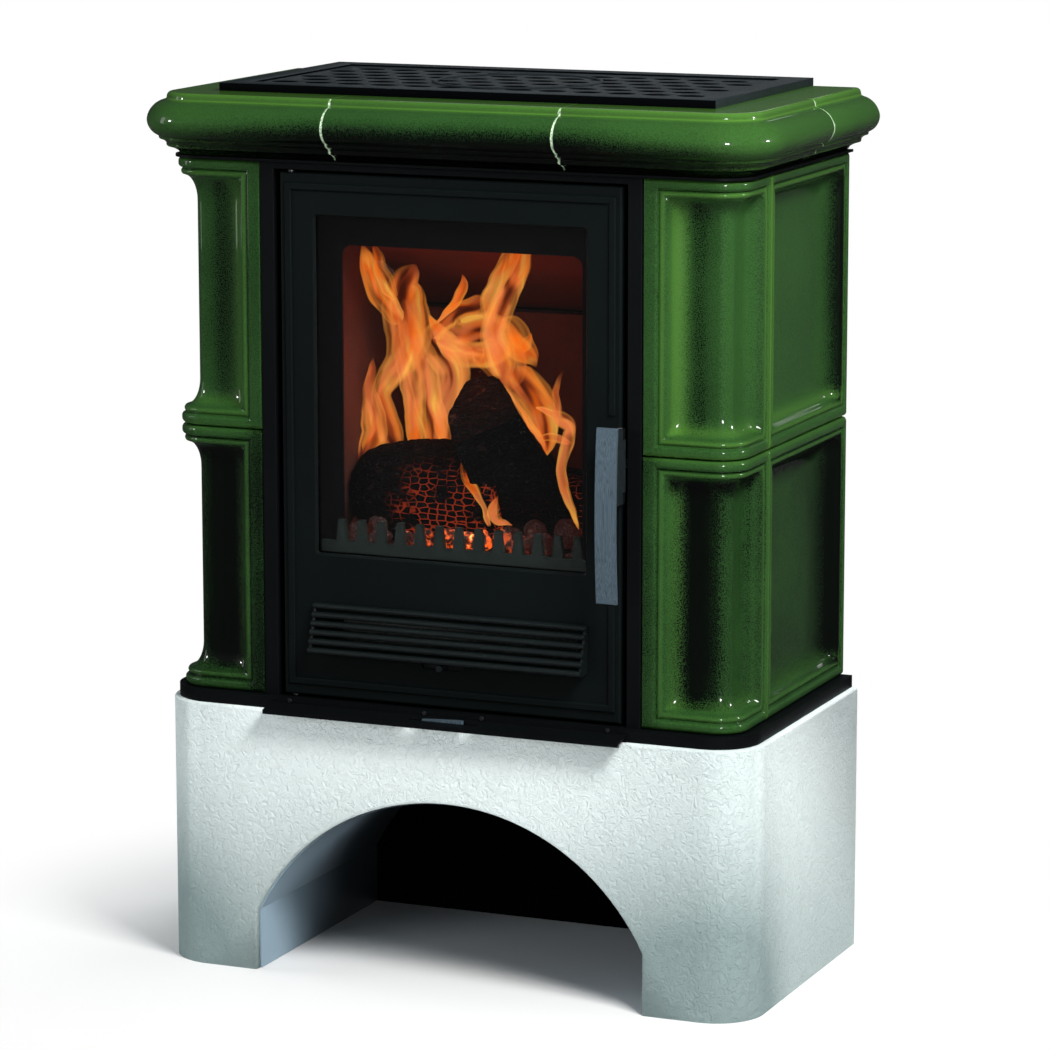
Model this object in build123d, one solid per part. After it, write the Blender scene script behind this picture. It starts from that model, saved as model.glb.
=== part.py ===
from build123d import *
import os
from math import sqrt

# A tiled wood stove on a plastered plinth with an arched log store. Millimetres, +Z up.
# Every piece is drawn with X = 0 in the middle, Z = 0 on the floor and Y measured back
# from the plinth's front face. On saving, the pieces move in Y so that the origin is the
# middle of the footprint.

# ---- plinth and log store ----
plinth_width = 720.0
plinth_depth = 368.0
plinth_height = 308.0
plinth_corner_radius = 57.0
plinth_wall = 42.0
plinth_edge_round = 3.0
arch_half_width = 237.0
arch_spring_height = 70.0
arch_crown_height = 217.5
arch_edge_round = 3.0
lining_sheet = 2.0
lining_setback = 8.0
lining_gap = 0.3

# ---- base plate and ash lip ----
base_height = 14.0
base_sheet = 3.0
base_overhang = 10.0
base_front = 5.0
base_rear_overhang = 2.0
base_corner_radius = 52.0
lip_inset = 12.5
lip_reach = 20.0
lip_rear_height = 8.0
lip_front_height = 4.0
lip_fold = 5.0
lip_sheet = 2.0
lip_slot_length = 84.0
lip_slot_width = 7.0
lip_slot_reach = 5.5
lip_screw_places = (-194.0, -27.0, 43.0, 194.0)
lip_screw_drop = 3.0

# ---- tiles ----
tile_half_width = plinth_width / 2 - 16.0
tile_front = 14.0
tile_rear = plinth_depth - 4.0
tile_stack = 607.0
tile_top = plinth_height + base_height + tile_stack
tile_thickness = 45.0
tile_corner_radius = 35.0
tile_joint = 0.8
tile_edge_round = 5.0
tile_blade = 13.0
tile_rim = 16.0
corner_side_length = 90.0
stile_width = 17.0
rail_width = 12.5
side_stile_width = 8.0
ledge_depth = 3.5
ledge_width = 8.0
field_depth = 22.0
cove_radius = 18.0

# ---- cornice, frame plate and top grille ----
frame_sheet = 3.0
frame_overhang = 3.0
frame_front_opening = 25.0
frame_rear_bridge = 8.0
cornice_height = 70.0
cornice_reach = 35.0
cornice_inner = 63.0
cornice_joint = 0.8
cornice_front_joint = 137.0
cornice_side_joint = 210.0
cornice_hollow_top = 18.0
cornice_hollow_wall = 13.0
cornice_end_wall = 12.0
grille_half_width = tile_half_width - 46.5
grille_front = 53.0
grille_depth = tile_rear - 48.0
grille_thickness = 9.0
grille_corner_radius = 5.0
grille_rim = 29.0
grille_field_drop = 2.0
lens_pitch_x = 41.0
lens_pitch_y = 38.0
lens_rows = 6
lens_length = 35.0
lens_width = 21.0
lens_flats = 4
ring_outer_radius = 98.0
ring_width = 7.0
ring_rise = 1.2
grille_web = 6.0

# ---- surround, door and window ----
surround_sheet = 3.0
surround_face = 17.0
surround_gap = 7.0
surround_header = 8.0
door_face = 15.0
door_half_width = 205.0
door_bottom = plinth_height + 17.0
door_top = tile_top - 11.0
door_depth = 30.0
door_sheet = 4.0
door_edge_round = 2.5
bead_outer_half = door_half_width - 6.0
bead_width = 9.0
bead_top_margin = 10.5
bead_bottom_margin = 12.0
bead_rise = 2.5
bead_break_low = plinth_height + 262.0
bead_break_high = plinth_height + 361.0
window_half_width = door_half_width - 42.5
window_bottom = plinth_height + 182.0
window_top = door_top - 48.0
window_chamfer = 2.5
glass_lap = 8.5
glass_thickness = 4.0
glass_seal_thickness = 1.0
clip_length = 22.0
clip_width = 4.8
clip_lap = 5.0
clip_thickness = 3.0
clip_gap = 0.3
clip_screw_radius = 1.6
seal_channel_half = door_half_width - 16.0
seal_channel_width = 12.0
seal_channel_depth = 22.0
seal_radius = 4.3
seal_sides = 8
seal_gap = 0.3

# ---- louvre and secondary air ----
louvre_half_width = door_half_width - 39.0
louvre_bottom = plinth_height + 70.0
louvre_top = plinth_height + 125.0
louvre_ribs = 6
rib_height = 6.6
rib_top_reach = 6.0
rib_bottom_reach = 22.0
rib_depth = 11.0
louvre_cheek = 3.0
louvre_inset = 12.0
air_knob_place = -9.0
air_knob_radius = 4.0
air_knob_reach = 11.0
air_knob_drop = 6.5
air_slot_half = 26.0
air_slot_height = 4.0
air_plate_sheet = 2.0
air_plate_gap = 0.3
air_travel = 20.0

# ---- handle and latch ----
handle_width = 24.0
handle_low = plinth_height + 158.0
handle_high = plinth_height + 352.0
handle_gap = 31.0
handle_bow = 5.0
handle_thickness = 4.0
handle_right = door_half_width + 9.0
bracket_low = plinth_height + 266.0
bracket_high = plinth_height + 348.0
bracket_width = 14.0
lug_height = 12.0
lug_gap = 0.4
pivot_place = door_half_width + 1.0
pivot_reach = 7.0
pivot_radius = 3.0
pivot_fit = 0.05
boss_radius = 6.4
tongue_half_height = 6.0
tongue_width = 6.0
tongue_length = 35.0
tongue_seat = 5.0
tongue_tip = door_half_width + 4.0
keeper_gap = 0.6
notch_half_height = 9.0
notch_width = 16.0

# ---- hinges ----
hinge_inset = 9.0
hinge_setback = 12.0
hinge_pin_radius = 4.0
hinge_fit = 0.05
hinge_engage = 18.0
hinge_boss = 15.0
hinge_boss_height = 26.0

# ---- stove body ----
body_face = 50.0
front_plate_sheet = 4.0
front_plate_inset = 3.3
fire_half_width = door_half_width - 59.5
fire_bottom = plinth_height + 189.0
fire_top = tile_top - 93.5
ash_half_width = door_half_width - 41.0
ash_bottom = plinth_height + 33.5
ash_top = plinth_height + 128.0
shell_half_width = door_half_width - 9.0
shell_sheet = 3.0
shell_rear_gap = 22.0
shell_top = tile_top - 3.0
hearth_level = plinth_height + 152.0
hearth_sheet = 6.0
brick_side = 22.0
brick_floor = 24.0
brick_rear = 24.0
brick_gap = 0.3
brick_top = tile_top - 57.0
grate_length = 200.0
grate_width = 140.0
grate_thickness = 9.0
grate_ledge = 10.0
grate_slots = 9
grate_slot_width = 8.0
baffle_thickness = 20.0
baffle_rear_height = tile_top - 193.0
baffle_front_height = tile_top - 79.0
baffle_front_gap = 42.0
ledge_reach = 8.0
ledge_length = 30.0
ledge_sheet = 5.0
retainer_half_width = door_half_width - 37.0
retainer_tooth_pitch = 23.9
retainer_tooth_height = 25.0
retainer_tooth_root = 13.5
retainer_tooth_tip = 7.0
retainer_bar_height = 13.0
retainer_drop = 9.0
retainer_thickness = 7.0
retainer_standoff = 3.0
retainer_lug_width = 16.0

# ---- flue, top lid, rear panels ----
flue_radius = 74.0
flue_wall = 2.0
flue_height = tile_top - 91.0
flue_reach = 48.0
flue_neck_step = 1.5
flue_flange_radius = 88.0
flue_flange_sheet = 4.0
lid_radius = 84.0
lid_hole_radius = 72.0
lid_thickness = 5.0
lid_spigot = 8.0
rear_sheet = 2.0
rear_panel_face = tile_rear - 12.0
rear_panel_gap = 0.4
vent_slots = 12
vent_slot_length = 26.0
vent_slot_height = 6.0
vent_pitch = 40.0

# ---- ash pan ----
pan_half_width = ash_half_width - 12.0
pan_depth = 225.0
pan_height = 62.0
pan_sheet = 1.6
pan_setback = 6.0
pan_handle_half = 45.0
pan_handle_reach = 8.0
runner_height = 18.0
runner_width = 14.0
runner_sheet = 2.0
slide_gap = 0.3

# ---- worked out from the values above ----
base_top = plinth_height + base_height
base_half_width = tile_half_width + base_overhang
base_rear = tile_rear + base_rear_overhang
surround_inner = door_half_width + surround_gap
surround_half_width = surround_inner + surround_face
lip_half_width = surround_half_width - lip_inset
front_plate_half = surround_half_width - front_plate_inset
hinge_x = hinge_inset - door_half_width
shell_rear = rear_panel_face - shell_rear_gap
rear_panel_half = tile_half_width - tile_thickness - rear_panel_gap
rear_upper_half = tile_half_width - cornice_inner - rear_panel_gap
tile_height = (tile_top - base_top - tile_joint) / 2
tile_side_joint = tile_front + corner_side_length
cornice_bottom = tile_top + frame_sheet
cornice_top = cornice_bottom + cornice_height
frame_half_width = tile_half_width + frame_overhang
frame_rear = tile_rear + frame_overhang
door_back = door_face + door_depth
hinge_y = door_face + hinge_setback
glass_half_width = window_half_width + glass_lap
glass_face = door_face + door_sheet + glass_seal_thickness
pivot_y = door_face - pivot_reach
handle_face = door_face - handle_gap
handle_left = handle_right - handle_width
tongue_height = (bracket_low + bracket_high) / 2
seal_x = seal_channel_half - seal_channel_width / 2
seal_low = door_bottom + 4 + seal_channel_width / 2
seal_high = door_top - 4 - seal_channel_width / 2
shell_inner = shell_half_width - shell_sheet
brick_floor_level = hearth_level + hearth_sheet
brick_face = shell_inner - brick_gap - brick_side
brick_front = body_face + front_plate_sheet + brick_gap
brick_rear_face = shell_rear - shell_sheet - brick_rear
pan_front = body_face + pan_setback
pan_bottom = base_top + shell_sheet + runner_height + slide_gap
handle_reach = handle_gap + handle_bow + handle_thickness - door_face
front_reach = max(handle_reach, cornice_reach - tile_front, lip_reach)
rear_reach = rear_panel_face + flue_reach
origin_shift = (front_reach - rear_reach) / 2


def block(x_low, x_high, y_low, y_high, z_low, z_high):
    """A plain box between two corners."""
    size = Box(x_high - x_low, y_high - y_low, z_high - z_low)
    return Pos((x_low + x_high) / 2, (y_low + y_high) / 2, (z_low + z_high) / 2) * size


def upright(plan, z_low, z_high):
    """A prism on a plan outline."""
    return Pos(0, 0, z_low) * extrude(plan, amount=z_high - z_low)


def across(section, x_low, x_high):
    """A prism along X on a (Y, Z) section."""
    return Pos(x_low, 0, 0) * extrude(Plane.YZ * section, amount=x_high - x_low)


def backwards(section, y_low, y_high):
    """A prism along Y on an (X, Z) section."""
    return Pos(0, y_low, 0) * extrude(Plane.XZ * section, amount=y_high - y_low, dir=(0, 1, 0))


def outline(*points):
    return make_face(Polyline(*points, close=True))


def front_rounded(half_width, y_front, y_rear, radius):
    """A rectangle in plan with its two front corners rounded."""
    corners = [(-half_width, y_front), (half_width, y_front), (half_width, y_rear), (-half_width, y_rear)]
    plan = outline(*corners)
    return fillet(plan.vertices().sort_by(Axis.Y)[:2], radius)


def block_face(a_low, a_high, b_low, b_high):
    return Pos((a_low + a_high) / 2, (b_low + b_high) / 2) * Rectangle(a_high - a_low, b_high - b_low)


def rod(x, y, z_low, z_high, radius):
    return Pos(x, y, (z_low + z_high) / 2) * Cylinder(radius, z_high - z_low)


def rod_back(x, z, y_low, y_high, radius):
    """A cylinder along Y."""
    return Pos(x, (y_low + y_high) / 2, z) * Rot(90, 0, 0) * Cylinder(radius, y_high - y_low)


def save(name, piece):
    moved = Pos(0, origin_shift, 0) * piece
    solids = moved.solids()
    shape = solids[0] if len(solids) == 1 else Compound(children=list(solids))
    shape.label = name
    export_step(shape, os.path.join("parts", name + ".step"))


# ---- plinth ----
def arch_face(offset):
    """The log store's front outline, moved outwards by offset."""
    half = arch_half_width + offset
    crown = arch_crown_height + offset
    rise = crown - arch_spring_height
    radius = (half**2 + rise**2) / (2 * rise)
    middle = crown - radius
    knee = half / 2
    knee_height = middle + sqrt(radius**2 - knee**2)
    left = ThreePointArc((-half, arch_spring_height), (-knee, knee_height), (0, crown))
    right = ThreePointArc((0, crown), (knee, knee_height), (half, arch_spring_height))
    foot = -1.0
    sides = Polyline((half, arch_spring_height), (half, foot), (-half, foot), (-half, arch_spring_height))
    return make_face(left + right + sides)


def make_plinth():
    plan = front_rounded(plinth_width / 2, 0, plinth_depth, plinth_corner_radius)
    body = upright(plan, 0, plinth_height)
    top_edges = body.edges().group_by(Axis.Z)[-1]
    body = fillet(top_edges, plinth_edge_round)
    hollow_half = plinth_width / 2 - plinth_wall
    hollow_radius = plinth_corner_radius - plinth_wall
    hollow_plan = front_rounded(hollow_half, plinth_wall, plinth_depth - plinth_wall, hollow_radius)
    body -= upright(hollow_plan, -1, plinth_height - plinth_wall)
    body -= backwards(arch_face(0), -1, plinth_wall + 1)
    front = body.faces().sort_by(Axis.Y)[0]
    arch_edges = [e for e in front.edges() if abs(e.center().X) < arch_half_width + 1]
    arch_edges = [e for e in arch_edges if 1 < e.center().Z < arch_crown_height + 1]
    return fillet(arch_edges, arch_edge_round)


def make_log_store():
    outer = arch_face(-lining_gap)
    inner = arch_face(-lining_gap - lining_sheet)
    rear = plinth_depth - plinth_wall - lining_sheet
    vault = backwards(outer, lining_setback, rear) - backwards(inner, lining_setback - 1, rear + 1)
    below = block(-400, 400, -1, plinth_depth, -2, arch_spring_height)
    save("log_store_vault", vault - below)
    half = arch_half_width - lining_gap
    floor_gap = lining_gap
    for name, side in (("left", -1), ("right", 1)):
        x_pair = sorted((side * half, side * (half - lining_sheet)))
        save("log_store_side_" + name, block(*x_pair, lining_setback, rear, floor_gap, arch_spring_height))
    back = backwards(arch_face(12), rear, rear + lining_sheet)
    save("log_store_back", back - block(-400, 400, 0, plinth_depth, -2, floor_gap))


# ---- base plate and ash lip ----
def lip_section():
    y_back = base_front
    y_front = -lip_reach
    z_back = plinth_height + lip_rear_height
    z_front = plinth_height + lip_front_height
    points = [(y_back, z_back), (y_front, z_front), (y_front, z_front - lip_fold)]
    points += [(y_front + lip_sheet, z_front - lip_fold), (y_front + lip_sheet, z_front - lip_sheet)]
    points += [(y_back - lip_sheet, z_back - lip_sheet), (y_back - lip_sheet, plinth_height + 0.3)]
    points += [(y_back, plinth_height + 0.3)]
    return outline(*points)


def lip_height_at(y):
    share = (y + lip_reach) / (base_front + lip_reach)
    return plinth_height + lip_front_height + share * (lip_rear_height - lip_front_height)


def make_base():
    plan = front_rounded(base_half_width, base_front, base_rear, base_corner_radius)
    t = base_sheet
    inner_plan = front_rounded(base_half_width - t, base_front + t, base_rear - t, base_corner_radius - t)
    tray = upright(plan, plinth_height, base_top)
    tray -= upright(inner_plan, plinth_height - 1, base_top - base_sheet)
    tray -= block(-90, 90, 110, 290, plinth_height - 1, base_top + 1)
    tray -= rod(hinge_x, hinge_y, base_top - base_sheet - 1, base_top + 1, hinge_pin_radius)
    for x in lip_screw_places:
        tray -= rod_back(x, base_top - lip_screw_drop, base_front - 1, base_front + 8, 1.6)
    save("base_plate", tray)

    lip = across(lip_section(), -lip_half_width, lip_half_width)
    slot_y = -lip_slot_reach
    slot_half = lip_slot_length / 2
    lip -= block(-slot_half, slot_half, slot_y - lip_slot_width / 2, slot_y + lip_slot_width / 2,
                 plinth_height - 8, base_top + 8)
    save("ash_lip", lip)

    screws = []
    for x in lip_screw_places:
        head = rod_back(x, base_top - lip_screw_drop, base_front - 1.6, base_front, 2.6)
        head = chamfer(head.edges().sort_by(Axis.Y)[:1], 0.7)
        screws.append(head + rod_back(x, base_top - lip_screw_drop, base_front - 0.2, base_front + 7, 1.6))
    save("base_screws", Compound(children=screws))

    # The primary air slider: a wedge-shaped tab above the lip on a tongue below it.
    tab_half = 25.0
    z_tab = lip_height_at(slot_y)
    tab = block(-tab_half, tab_half, slot_y - 2.6, slot_y + 2.6, z_tab - 6, z_tab + 2.6)
    top = tab.faces().sort_by(Axis.Z)[-1]
    tab = chamfer(top.edges().sort_by(Axis.X)[0], 2.0, 40.0)
    tab = fillet(tab.edges().filter_by(Axis.Z), 2.0)
    tab += block(-tab_half + 3, tab_half - 3, slot_y - 5.2, slot_y + 5.2, z_tab - 8, z_tab - 6)
    save("air_slider", tab)


# ---- tiles ----
def corner_band(x_start, y_end, depth, outside):
    """Plan of the space between the tile's surface and a depth below it, round the corner."""
    x_out = tile_half_width + outside
    x_in = tile_half_width - depth
    y_out = tile_front - outside
    y_in = tile_front + depth
    points = [(x_start, y_out), (x_out, y_out), (x_out, y_end), (x_in, y_end), (x_in, y_in), (x_start, y_in)]
    plan = outline(*points)
    bend = [v for v in plan.vertices() if abs(v.X - x_in) < 0.01 and abs(v.Y - y_in) < 0.01]
    return fillet(bend, tile_corner_radius - depth)


def make_corner_tile():
    x_start = surround_half_width + tile_joint
    y_end = tile_side_joint
    points = [(x_start, tile_front), (tile_half_width, tile_front), (tile_half_width, y_end)]
    x_inner = tile_half_width - tile_thickness
    y_inner = tile_front + tile_thickness
    points += [(x_inner, y_end), (x_inner, y_inner), (x_start, y_inner)]
    plan = outline(*points)
    nose = [v for v in plan.vertices() if v.X > tile_half_width - 1 and v.Y < tile_front + 1]
    plan = fillet(nose, tile_corner_radius)
    tile = upright(plan, 0, tile_height)
    rims = []
    for level in (0, -1):
        for edge in tile.edges().group_by(Axis.Z)[level]:
            c = edge.center()
            on_front = c.Y < tile_front + tile_corner_radius and c.X > x_start + 1
            on_side = c.X > tile_half_width - tile_corner_radius and c.Y < y_end - 1
            if on_front or on_side:
                rims.append(edge)
    tile = fillet(rims, tile_edge_round)

    ledge_plan = corner_band(x_start + stile_width, y_end - side_stile_width, ledge_depth, 10)
    tile -= upright(ledge_plan, rail_width, tile_height - rail_width)

    x_field = x_start + stile_width + ledge_width
    y_field = y_end - side_stile_width - ledge_width
    field = upright(corner_band(x_field, y_field, field_depth, 10), rail_width + ledge_width,
                    tile_height - rail_width - ledge_width)
    cove = min(cove_radius, 0.9 * (tile_half_width - tile_corner_radius - x_field))
    tile -= fillet(field_edges(field, x_field, y_field), cove)

    # The back is open between a rim and the glazed blade.
    x_back = tile_half_width - field_depth - tile_blade
    y_back = tile_front + field_depth + tile_blade
    behind = block(x_start + tile_rim, x_back, y_back, 200, tile_rim, tile_height - tile_rim)
    behind += block(0, x_back, y_back, y_end - tile_rim, tile_rim, tile_height - tile_rim)
    return tile - behind


def field_edges(field, x_field, y_field):
    """The edges of the field cutter that become the coves: all round its inner wall."""
    chosen = []
    x_wall = tile_half_width - field_depth
    y_wall = tile_front + field_depth
    for edge in field.edges():
        c = edge.center()
        on_front_wall = abs(c.Y - y_wall) < 0.01 and c.X < x_wall + 0.01
        on_side_wall = abs(c.X - x_wall) < 0.01 and c.Y > y_wall - 0.01
        on_bend = edge.geom_type == GeomType.CIRCLE
        upright_bend = abs(edge.tangent_at(0.5).Z) > 0.9 and not (
            abs(c.X - x_field) < 0.01 or abs(c.Y - y_field) < 0.01
        )
        if (on_front_wall or on_side_wall or on_bend) and not upright_bend:
            chosen.append(edge)
    return chosen


def make_side_tile():
    y_low = tile_side_joint + tile_joint
    y_high = tile_rear
    x_out = tile_half_width
    tile = block(x_out - tile_thickness, x_out, y_low, y_high, 0, tile_height)
    outer = tile.faces().sort_by(Axis.X)[-1]
    rims = [e for e in outer.edges() if abs(e.tangent_at(0.5).Y) > 0.9]
    tile = fillet(rims, tile_edge_round)
    stile = side_stile_width
    y_ledge = (y_low + stile, y_high - stile)
    tile -= block(x_out - ledge_depth, x_out + 10, *y_ledge, rail_width, tile_height - rail_width)
    y_field = (y_low + stile + ledge_width, y_high - stile - ledge_width)
    z_margin = rail_width + ledge_width
    field = block(x_out - field_depth, x_out + 30, *y_field, z_margin, tile_height - z_margin)
    floor = field.faces().sort_by(Axis.X)[0]
    tile -= fillet(floor.edges(), cove_radius)
    x_back = x_out - field_depth - tile_blade
    behind = block(0, x_back, y_low + tile_rim, y_high - tile_rim, tile_rim, tile_height - tile_rim)
    return tile - behind


def make_tiles():
    corner = make_corner_tile()
    side = make_side_tile()
    for tier, z in (("lower", base_top), ("upper", base_top + tile_height + tile_joint)):
        save(tier + "_corner_tile_right", Pos(0, 0, z) * corner)
        save(tier + "_corner_tile_left", Pos(0, 0, z) * mirror(corner, about=Plane.YZ))
        save(tier + "_side_tile_right", Pos(0, 0, z) * side)
        save(tier + "_side_tile_left", Pos(0, 0, z) * mirror(side, about=Plane.YZ))


# ---- cornice ----
def cornice_section():
    """The cornice moulding: X is the reach out from the tile face, Y the height above its foot."""
    foot = Polyline((-cornice_inner, 0), (-5, 0), (-1, 3))
    cove = ThreePointArc((-1, 3), (5.2, 6.6), (12, 8.5))
    step = Line((12, 8.5), (13, 12.5))
    small_cove = ThreePointArc((13, 12.5), (16.2, 15.6), (20.5, 17))
    fillet_line = Line((20.5, 17), (21.5, 20.5))
    roll_low = ThreePointArc((21.5, 20.5), (31.5, 28), (cornice_reach, 39.5))
    roll_high = ThreePointArc((cornice_reach, 39.5), (29, 52.5), (14, 61))
    quirk = Line((14, 61), (12, 62.5))
    shoulder = ThreePointArc((12, 62.5), (11, 67.5), (8, cornice_height))
    top = Polyline((8, cornice_height), (-cornice_inner, cornice_height), (-cornice_inner, 0))
    lower = foot + cove + step + small_cove + fillet_line
    return make_face(lower + roll_low + roll_high + quirk + shoulder + top)


def cornice_hollow():
    low = -cornice_inner + cornice_hollow_wall
    high = cornice_height - cornice_hollow_top
    return outline((low, -1), (3, -1), (3, high), (low, high))


def cornice_run(length, near_wall, far_wall):
    """A straight length along +Y whose moulding faces +X, hollow below between its end walls."""
    run = backwards(cornice_section(), 0, length) - backwards(cornice_hollow(), near_wall, length - far_wall)
    return Pos(0, 0, cornice_bottom) * run


def cornice_bend():
    """A quarter turn about the corner's centre, from facing +X to facing -Y."""
    keep = outline((-tile_corner_radius, -5), (60, -5), (60, 90), (-tile_corner_radius, 90))
    face = (cornice_section() - cornice_hollow()) & keep
    turned = Plane.XZ * (Pos(tile_corner_radius, 0, 0) * face)
    return Pos(0, 0, cornice_bottom) * revolve(turned, Axis.Z, -90)


def make_cornice():
    x_bend = tile_half_width - tile_corner_radius
    y_bend = tile_front + tile_corner_radius
    half_joint = cornice_joint / 2
    x_joint = cornice_front_joint + half_joint
    wall = cornice_end_wall
    arm_length = cornice_side_joint - half_joint - y_bend
    side_arm = Pos(tile_half_width, y_bend, 0) * cornice_run(arm_length, 0, wall)
    front_arm = Pos(x_joint, tile_front, 0) * Rot(0, 0, -90) * cornice_run(x_bend - x_joint, wall, 0)
    bend = Pos(x_bend, y_bend, 0) * cornice_bend()
    corner = side_arm + front_arm + bend
    save("cornice_corner_right", corner)
    save("cornice_corner_left", mirror(corner, about=Plane.YZ))
    middle_length = 2 * (cornice_front_joint - half_joint)
    middle = Pos(-middle_length / 2, tile_front, 0) * Rot(0, 0, -90) * cornice_run(middle_length, wall, wall)
    save("cornice_front", middle)
    y_start = cornice_side_joint + half_joint
    side = Pos(tile_half_width, y_start, 0) * cornice_run(frame_rear - y_start, wall, wall)
    save("cornice_side_right", side)
    save("cornice_side_left", mirror(side, about=Plane.YZ))

    radius = tile_corner_radius + frame_overhang
    plan = front_rounded(frame_half_width, tile_front - frame_overhang, frame_rear, radius)
    plate = upright(plan, tile_top, cornice_bottom)
    opening = (-surround_inner, surround_inner, frame_front_opening, rear_panel_face - frame_rear_bridge)
    plate -= block(*opening, tile_top - 1, cornice_bottom + 1)
    save("top_frame_plate", plate)


# ---- top grille ----
def lens(x, y):
    """A pointed oval with its points along X, each side an arc cast as short flats."""
    half = lens_length / 2
    rise = lens_width / 2
    radius = (half**2 + rise**2) / (2 * rise)
    upper = []
    lower = []
    for i in range(lens_flats):
        along = half * (2 * i / lens_flats - 1)
        height = sqrt(radius**2 - along**2) - (radius - rise)
        upper.append((x + along, y + height))
        lower.append((x - along, y - height))
    return outline(*upper, *lower)


def make_grille():
    y_mid = grille_front + grille_depth / 2
    low = cornice_top
    high = low + grille_thickness
    plan = Pos(0, y_mid) * RectangleRounded(2 * grille_half_width, grille_depth, grille_corner_radius)
    field = Pos(0, y_mid) * Rectangle(2 * (grille_half_width - grille_rim), grille_depth - 2 * grille_rim)
    plate = upright(plan, low, high)
    plate = chamfer(plate.edges().group_by(Axis.Z)[-1], 1.2)
    plate -= upright(field, high - grille_field_drop, high + 1)
    plate -= upright(field, low - 1, high - grille_field_drop - grille_web)
    holes = []
    columns = int((grille_half_width - grille_rim - lens_length / 2 - 2) / lens_pitch_x)
    for row in range(lens_rows):
        y = y_mid + (row - (lens_rows - 1) / 2) * lens_pitch_y
        shift = lens_pitch_x / 2 if row % 2 else 0
        count = 2 * columns + (0 if row % 2 else 1)
        for column in range(count):
            x = (column - columns) * lens_pitch_x + shift
            holes.append(lens(x, y))
    plate -= extrude(Pos(0, 0, low) * Sketch(children=holes), amount=grille_thickness)
    ring_face = Pos(0, y_mid) * (Circle(ring_outer_radius) - Circle(ring_outer_radius - ring_width))
    plate += upright(ring_face, high - grille_field_drop - grille_web, high - grille_field_drop + ring_rise)
    save("top_grille", plate)


# ---- surround and stove body ----
def make_surround():
    y_low = tile_front
    y_high = body_face
    header_low = tile_top - surround_header
    frame = block(-surround_half_width, surround_half_width, y_low, y_high, base_top, tile_top)
    frame -= block(-surround_inner, surround_inner, y_low - 1, y_high + 1, base_top - 1, header_low)
    frame = fillet(front_corner_edges(frame, y_low), 1.2)
    t = surround_sheet
    # Each post is a folded channel, open at the back.
    for side in (-1, 1):
        x_pair = sorted((side * (surround_inner + t), side * (surround_half_width - t)))
        frame -= block(*x_pair, y_low + t, y_high + 1, base_top - 1, header_low)
    frame -= rod(hinge_x, hinge_y, header_low - 1, tile_top + 1, hinge_pin_radius)
    save("front_surround", frame)

    keeper_x = tongue_tip + keeper_gap
    keeper = block(keeper_x, surround_inner, door_back - 14, door_back - 4,
                   tongue_height - tongue_half_height - 6, tongue_height + tongue_half_height + 6)
    keeper = fillet(keeper.edges().filter_by(Axis.Z).sort_by(Axis.X)[:2], 1.2)
    save("latch_keeper", keeper)

    pins = []
    tall = hinge_engage
    pins.append(rod(hinge_x, hinge_y, door_top - tall, tile_top, hinge_pin_radius))
    pins.append(rod(hinge_x, hinge_y, base_top - base_sheet, door_bottom + tall, hinge_pin_radius))
    save("hinge_pins", Compound(children=pins))


def front_corner_edges(frame, y_low):
    return [e for e in frame.faces().sort_by(Axis.Y)[0].edges() if e.center().Z > base_top + 1]


def make_body():
    y_low = body_face
    y_high = body_face + front_plate_sheet
    plate = block(-front_plate_half, front_plate_half, y_low, y_high, base_top, tile_top)
    fire = RectangleRounded(2 * fire_half_width, fire_top - fire_bottom, 12)
    plate -= backwards(Pos(0, (fire_top + fire_bottom) / 2) * fire, y_low - 1, y_high + 1)
    ash = RectangleRounded(2 * ash_half_width, ash_top - ash_bottom, 8)
    plate -= backwards(Pos(0, (ash_top + ash_bottom) / 2) * ash, y_low - 1, y_high + 1)
    save("front_plate", plate)

    t = shell_sheet
    shell = block(-shell_half_width, shell_half_width, y_high, shell_rear, base_top, shell_top)
    shell -= block(-shell_inner, shell_inner, y_high - 1, shell_rear - t, base_top + t, hearth_level)
    shell -= block(-shell_inner, shell_inner, y_high - 1, shell_rear - t, brick_floor_level, shell_top - t)
    ash_hole_half = grate_length / 2 - grate_ledge
    ash_hole_depth = grate_width / 2 - grate_ledge
    y_grate = grate_middle()
    shell -= block(-ash_hole_half, ash_hole_half, y_grate - ash_hole_depth, y_grate + ash_hole_depth,
                   hearth_level - 1, brick_floor_level + 1)
    shell -= rod_back(0, flue_height, shell_rear - 10, shell_rear + 10,
                      flue_radius - flue_neck_step - flue_wall)
    shell -= rod(0, grille_front + grille_depth / 2, shell_top - 10, shell_top + 1, lid_hole_radius)
    save("firebox_shell", shell)

    y_lid = grille_front + grille_depth / 2
    lid = rod(0, y_lid, shell_top, shell_top + lid_thickness, lid_radius)
    lid = chamfer(lid.edges().group_by(Axis.Z)[-1], 1.5)
    lid += rod(0, y_lid, shell_top - lid_spigot, shell_top + 1, lid_hole_radius - 1)
    save("blanking_lid", lid)

    y_neck = rear_panel_face + 1
    tube = rod_back(0, flue_height, y_neck, rear_panel_face + flue_reach, flue_radius)
    tube += rod_back(0, flue_height, shell_rear, y_neck + 1, flue_radius - flue_neck_step)
    tube += rod_back(0, flue_height, shell_rear, shell_rear + flue_flange_sheet, flue_flange_radius)
    tube -= rod_back(0, flue_height, shell_rear - 1, rear_panel_face + flue_reach + 1,
                     flue_radius - flue_neck_step - flue_wall)
    save("flue_spigot", tube)


def grate_middle():
    return (brick_front + brick_rear_face) / 2


def vent_row(y_low, y_high, z):
    """A row of punched slots cut through a rear panel."""
    slots = []
    for i in range(vent_slots):
        x = (i - (vent_slots - 1) / 2) * vent_pitch
        slots.append(Pos(x, z) * Rectangle(vent_slot_length, vent_slot_height))
    return backwards(Sketch(children=slots), y_low, y_high)


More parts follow.
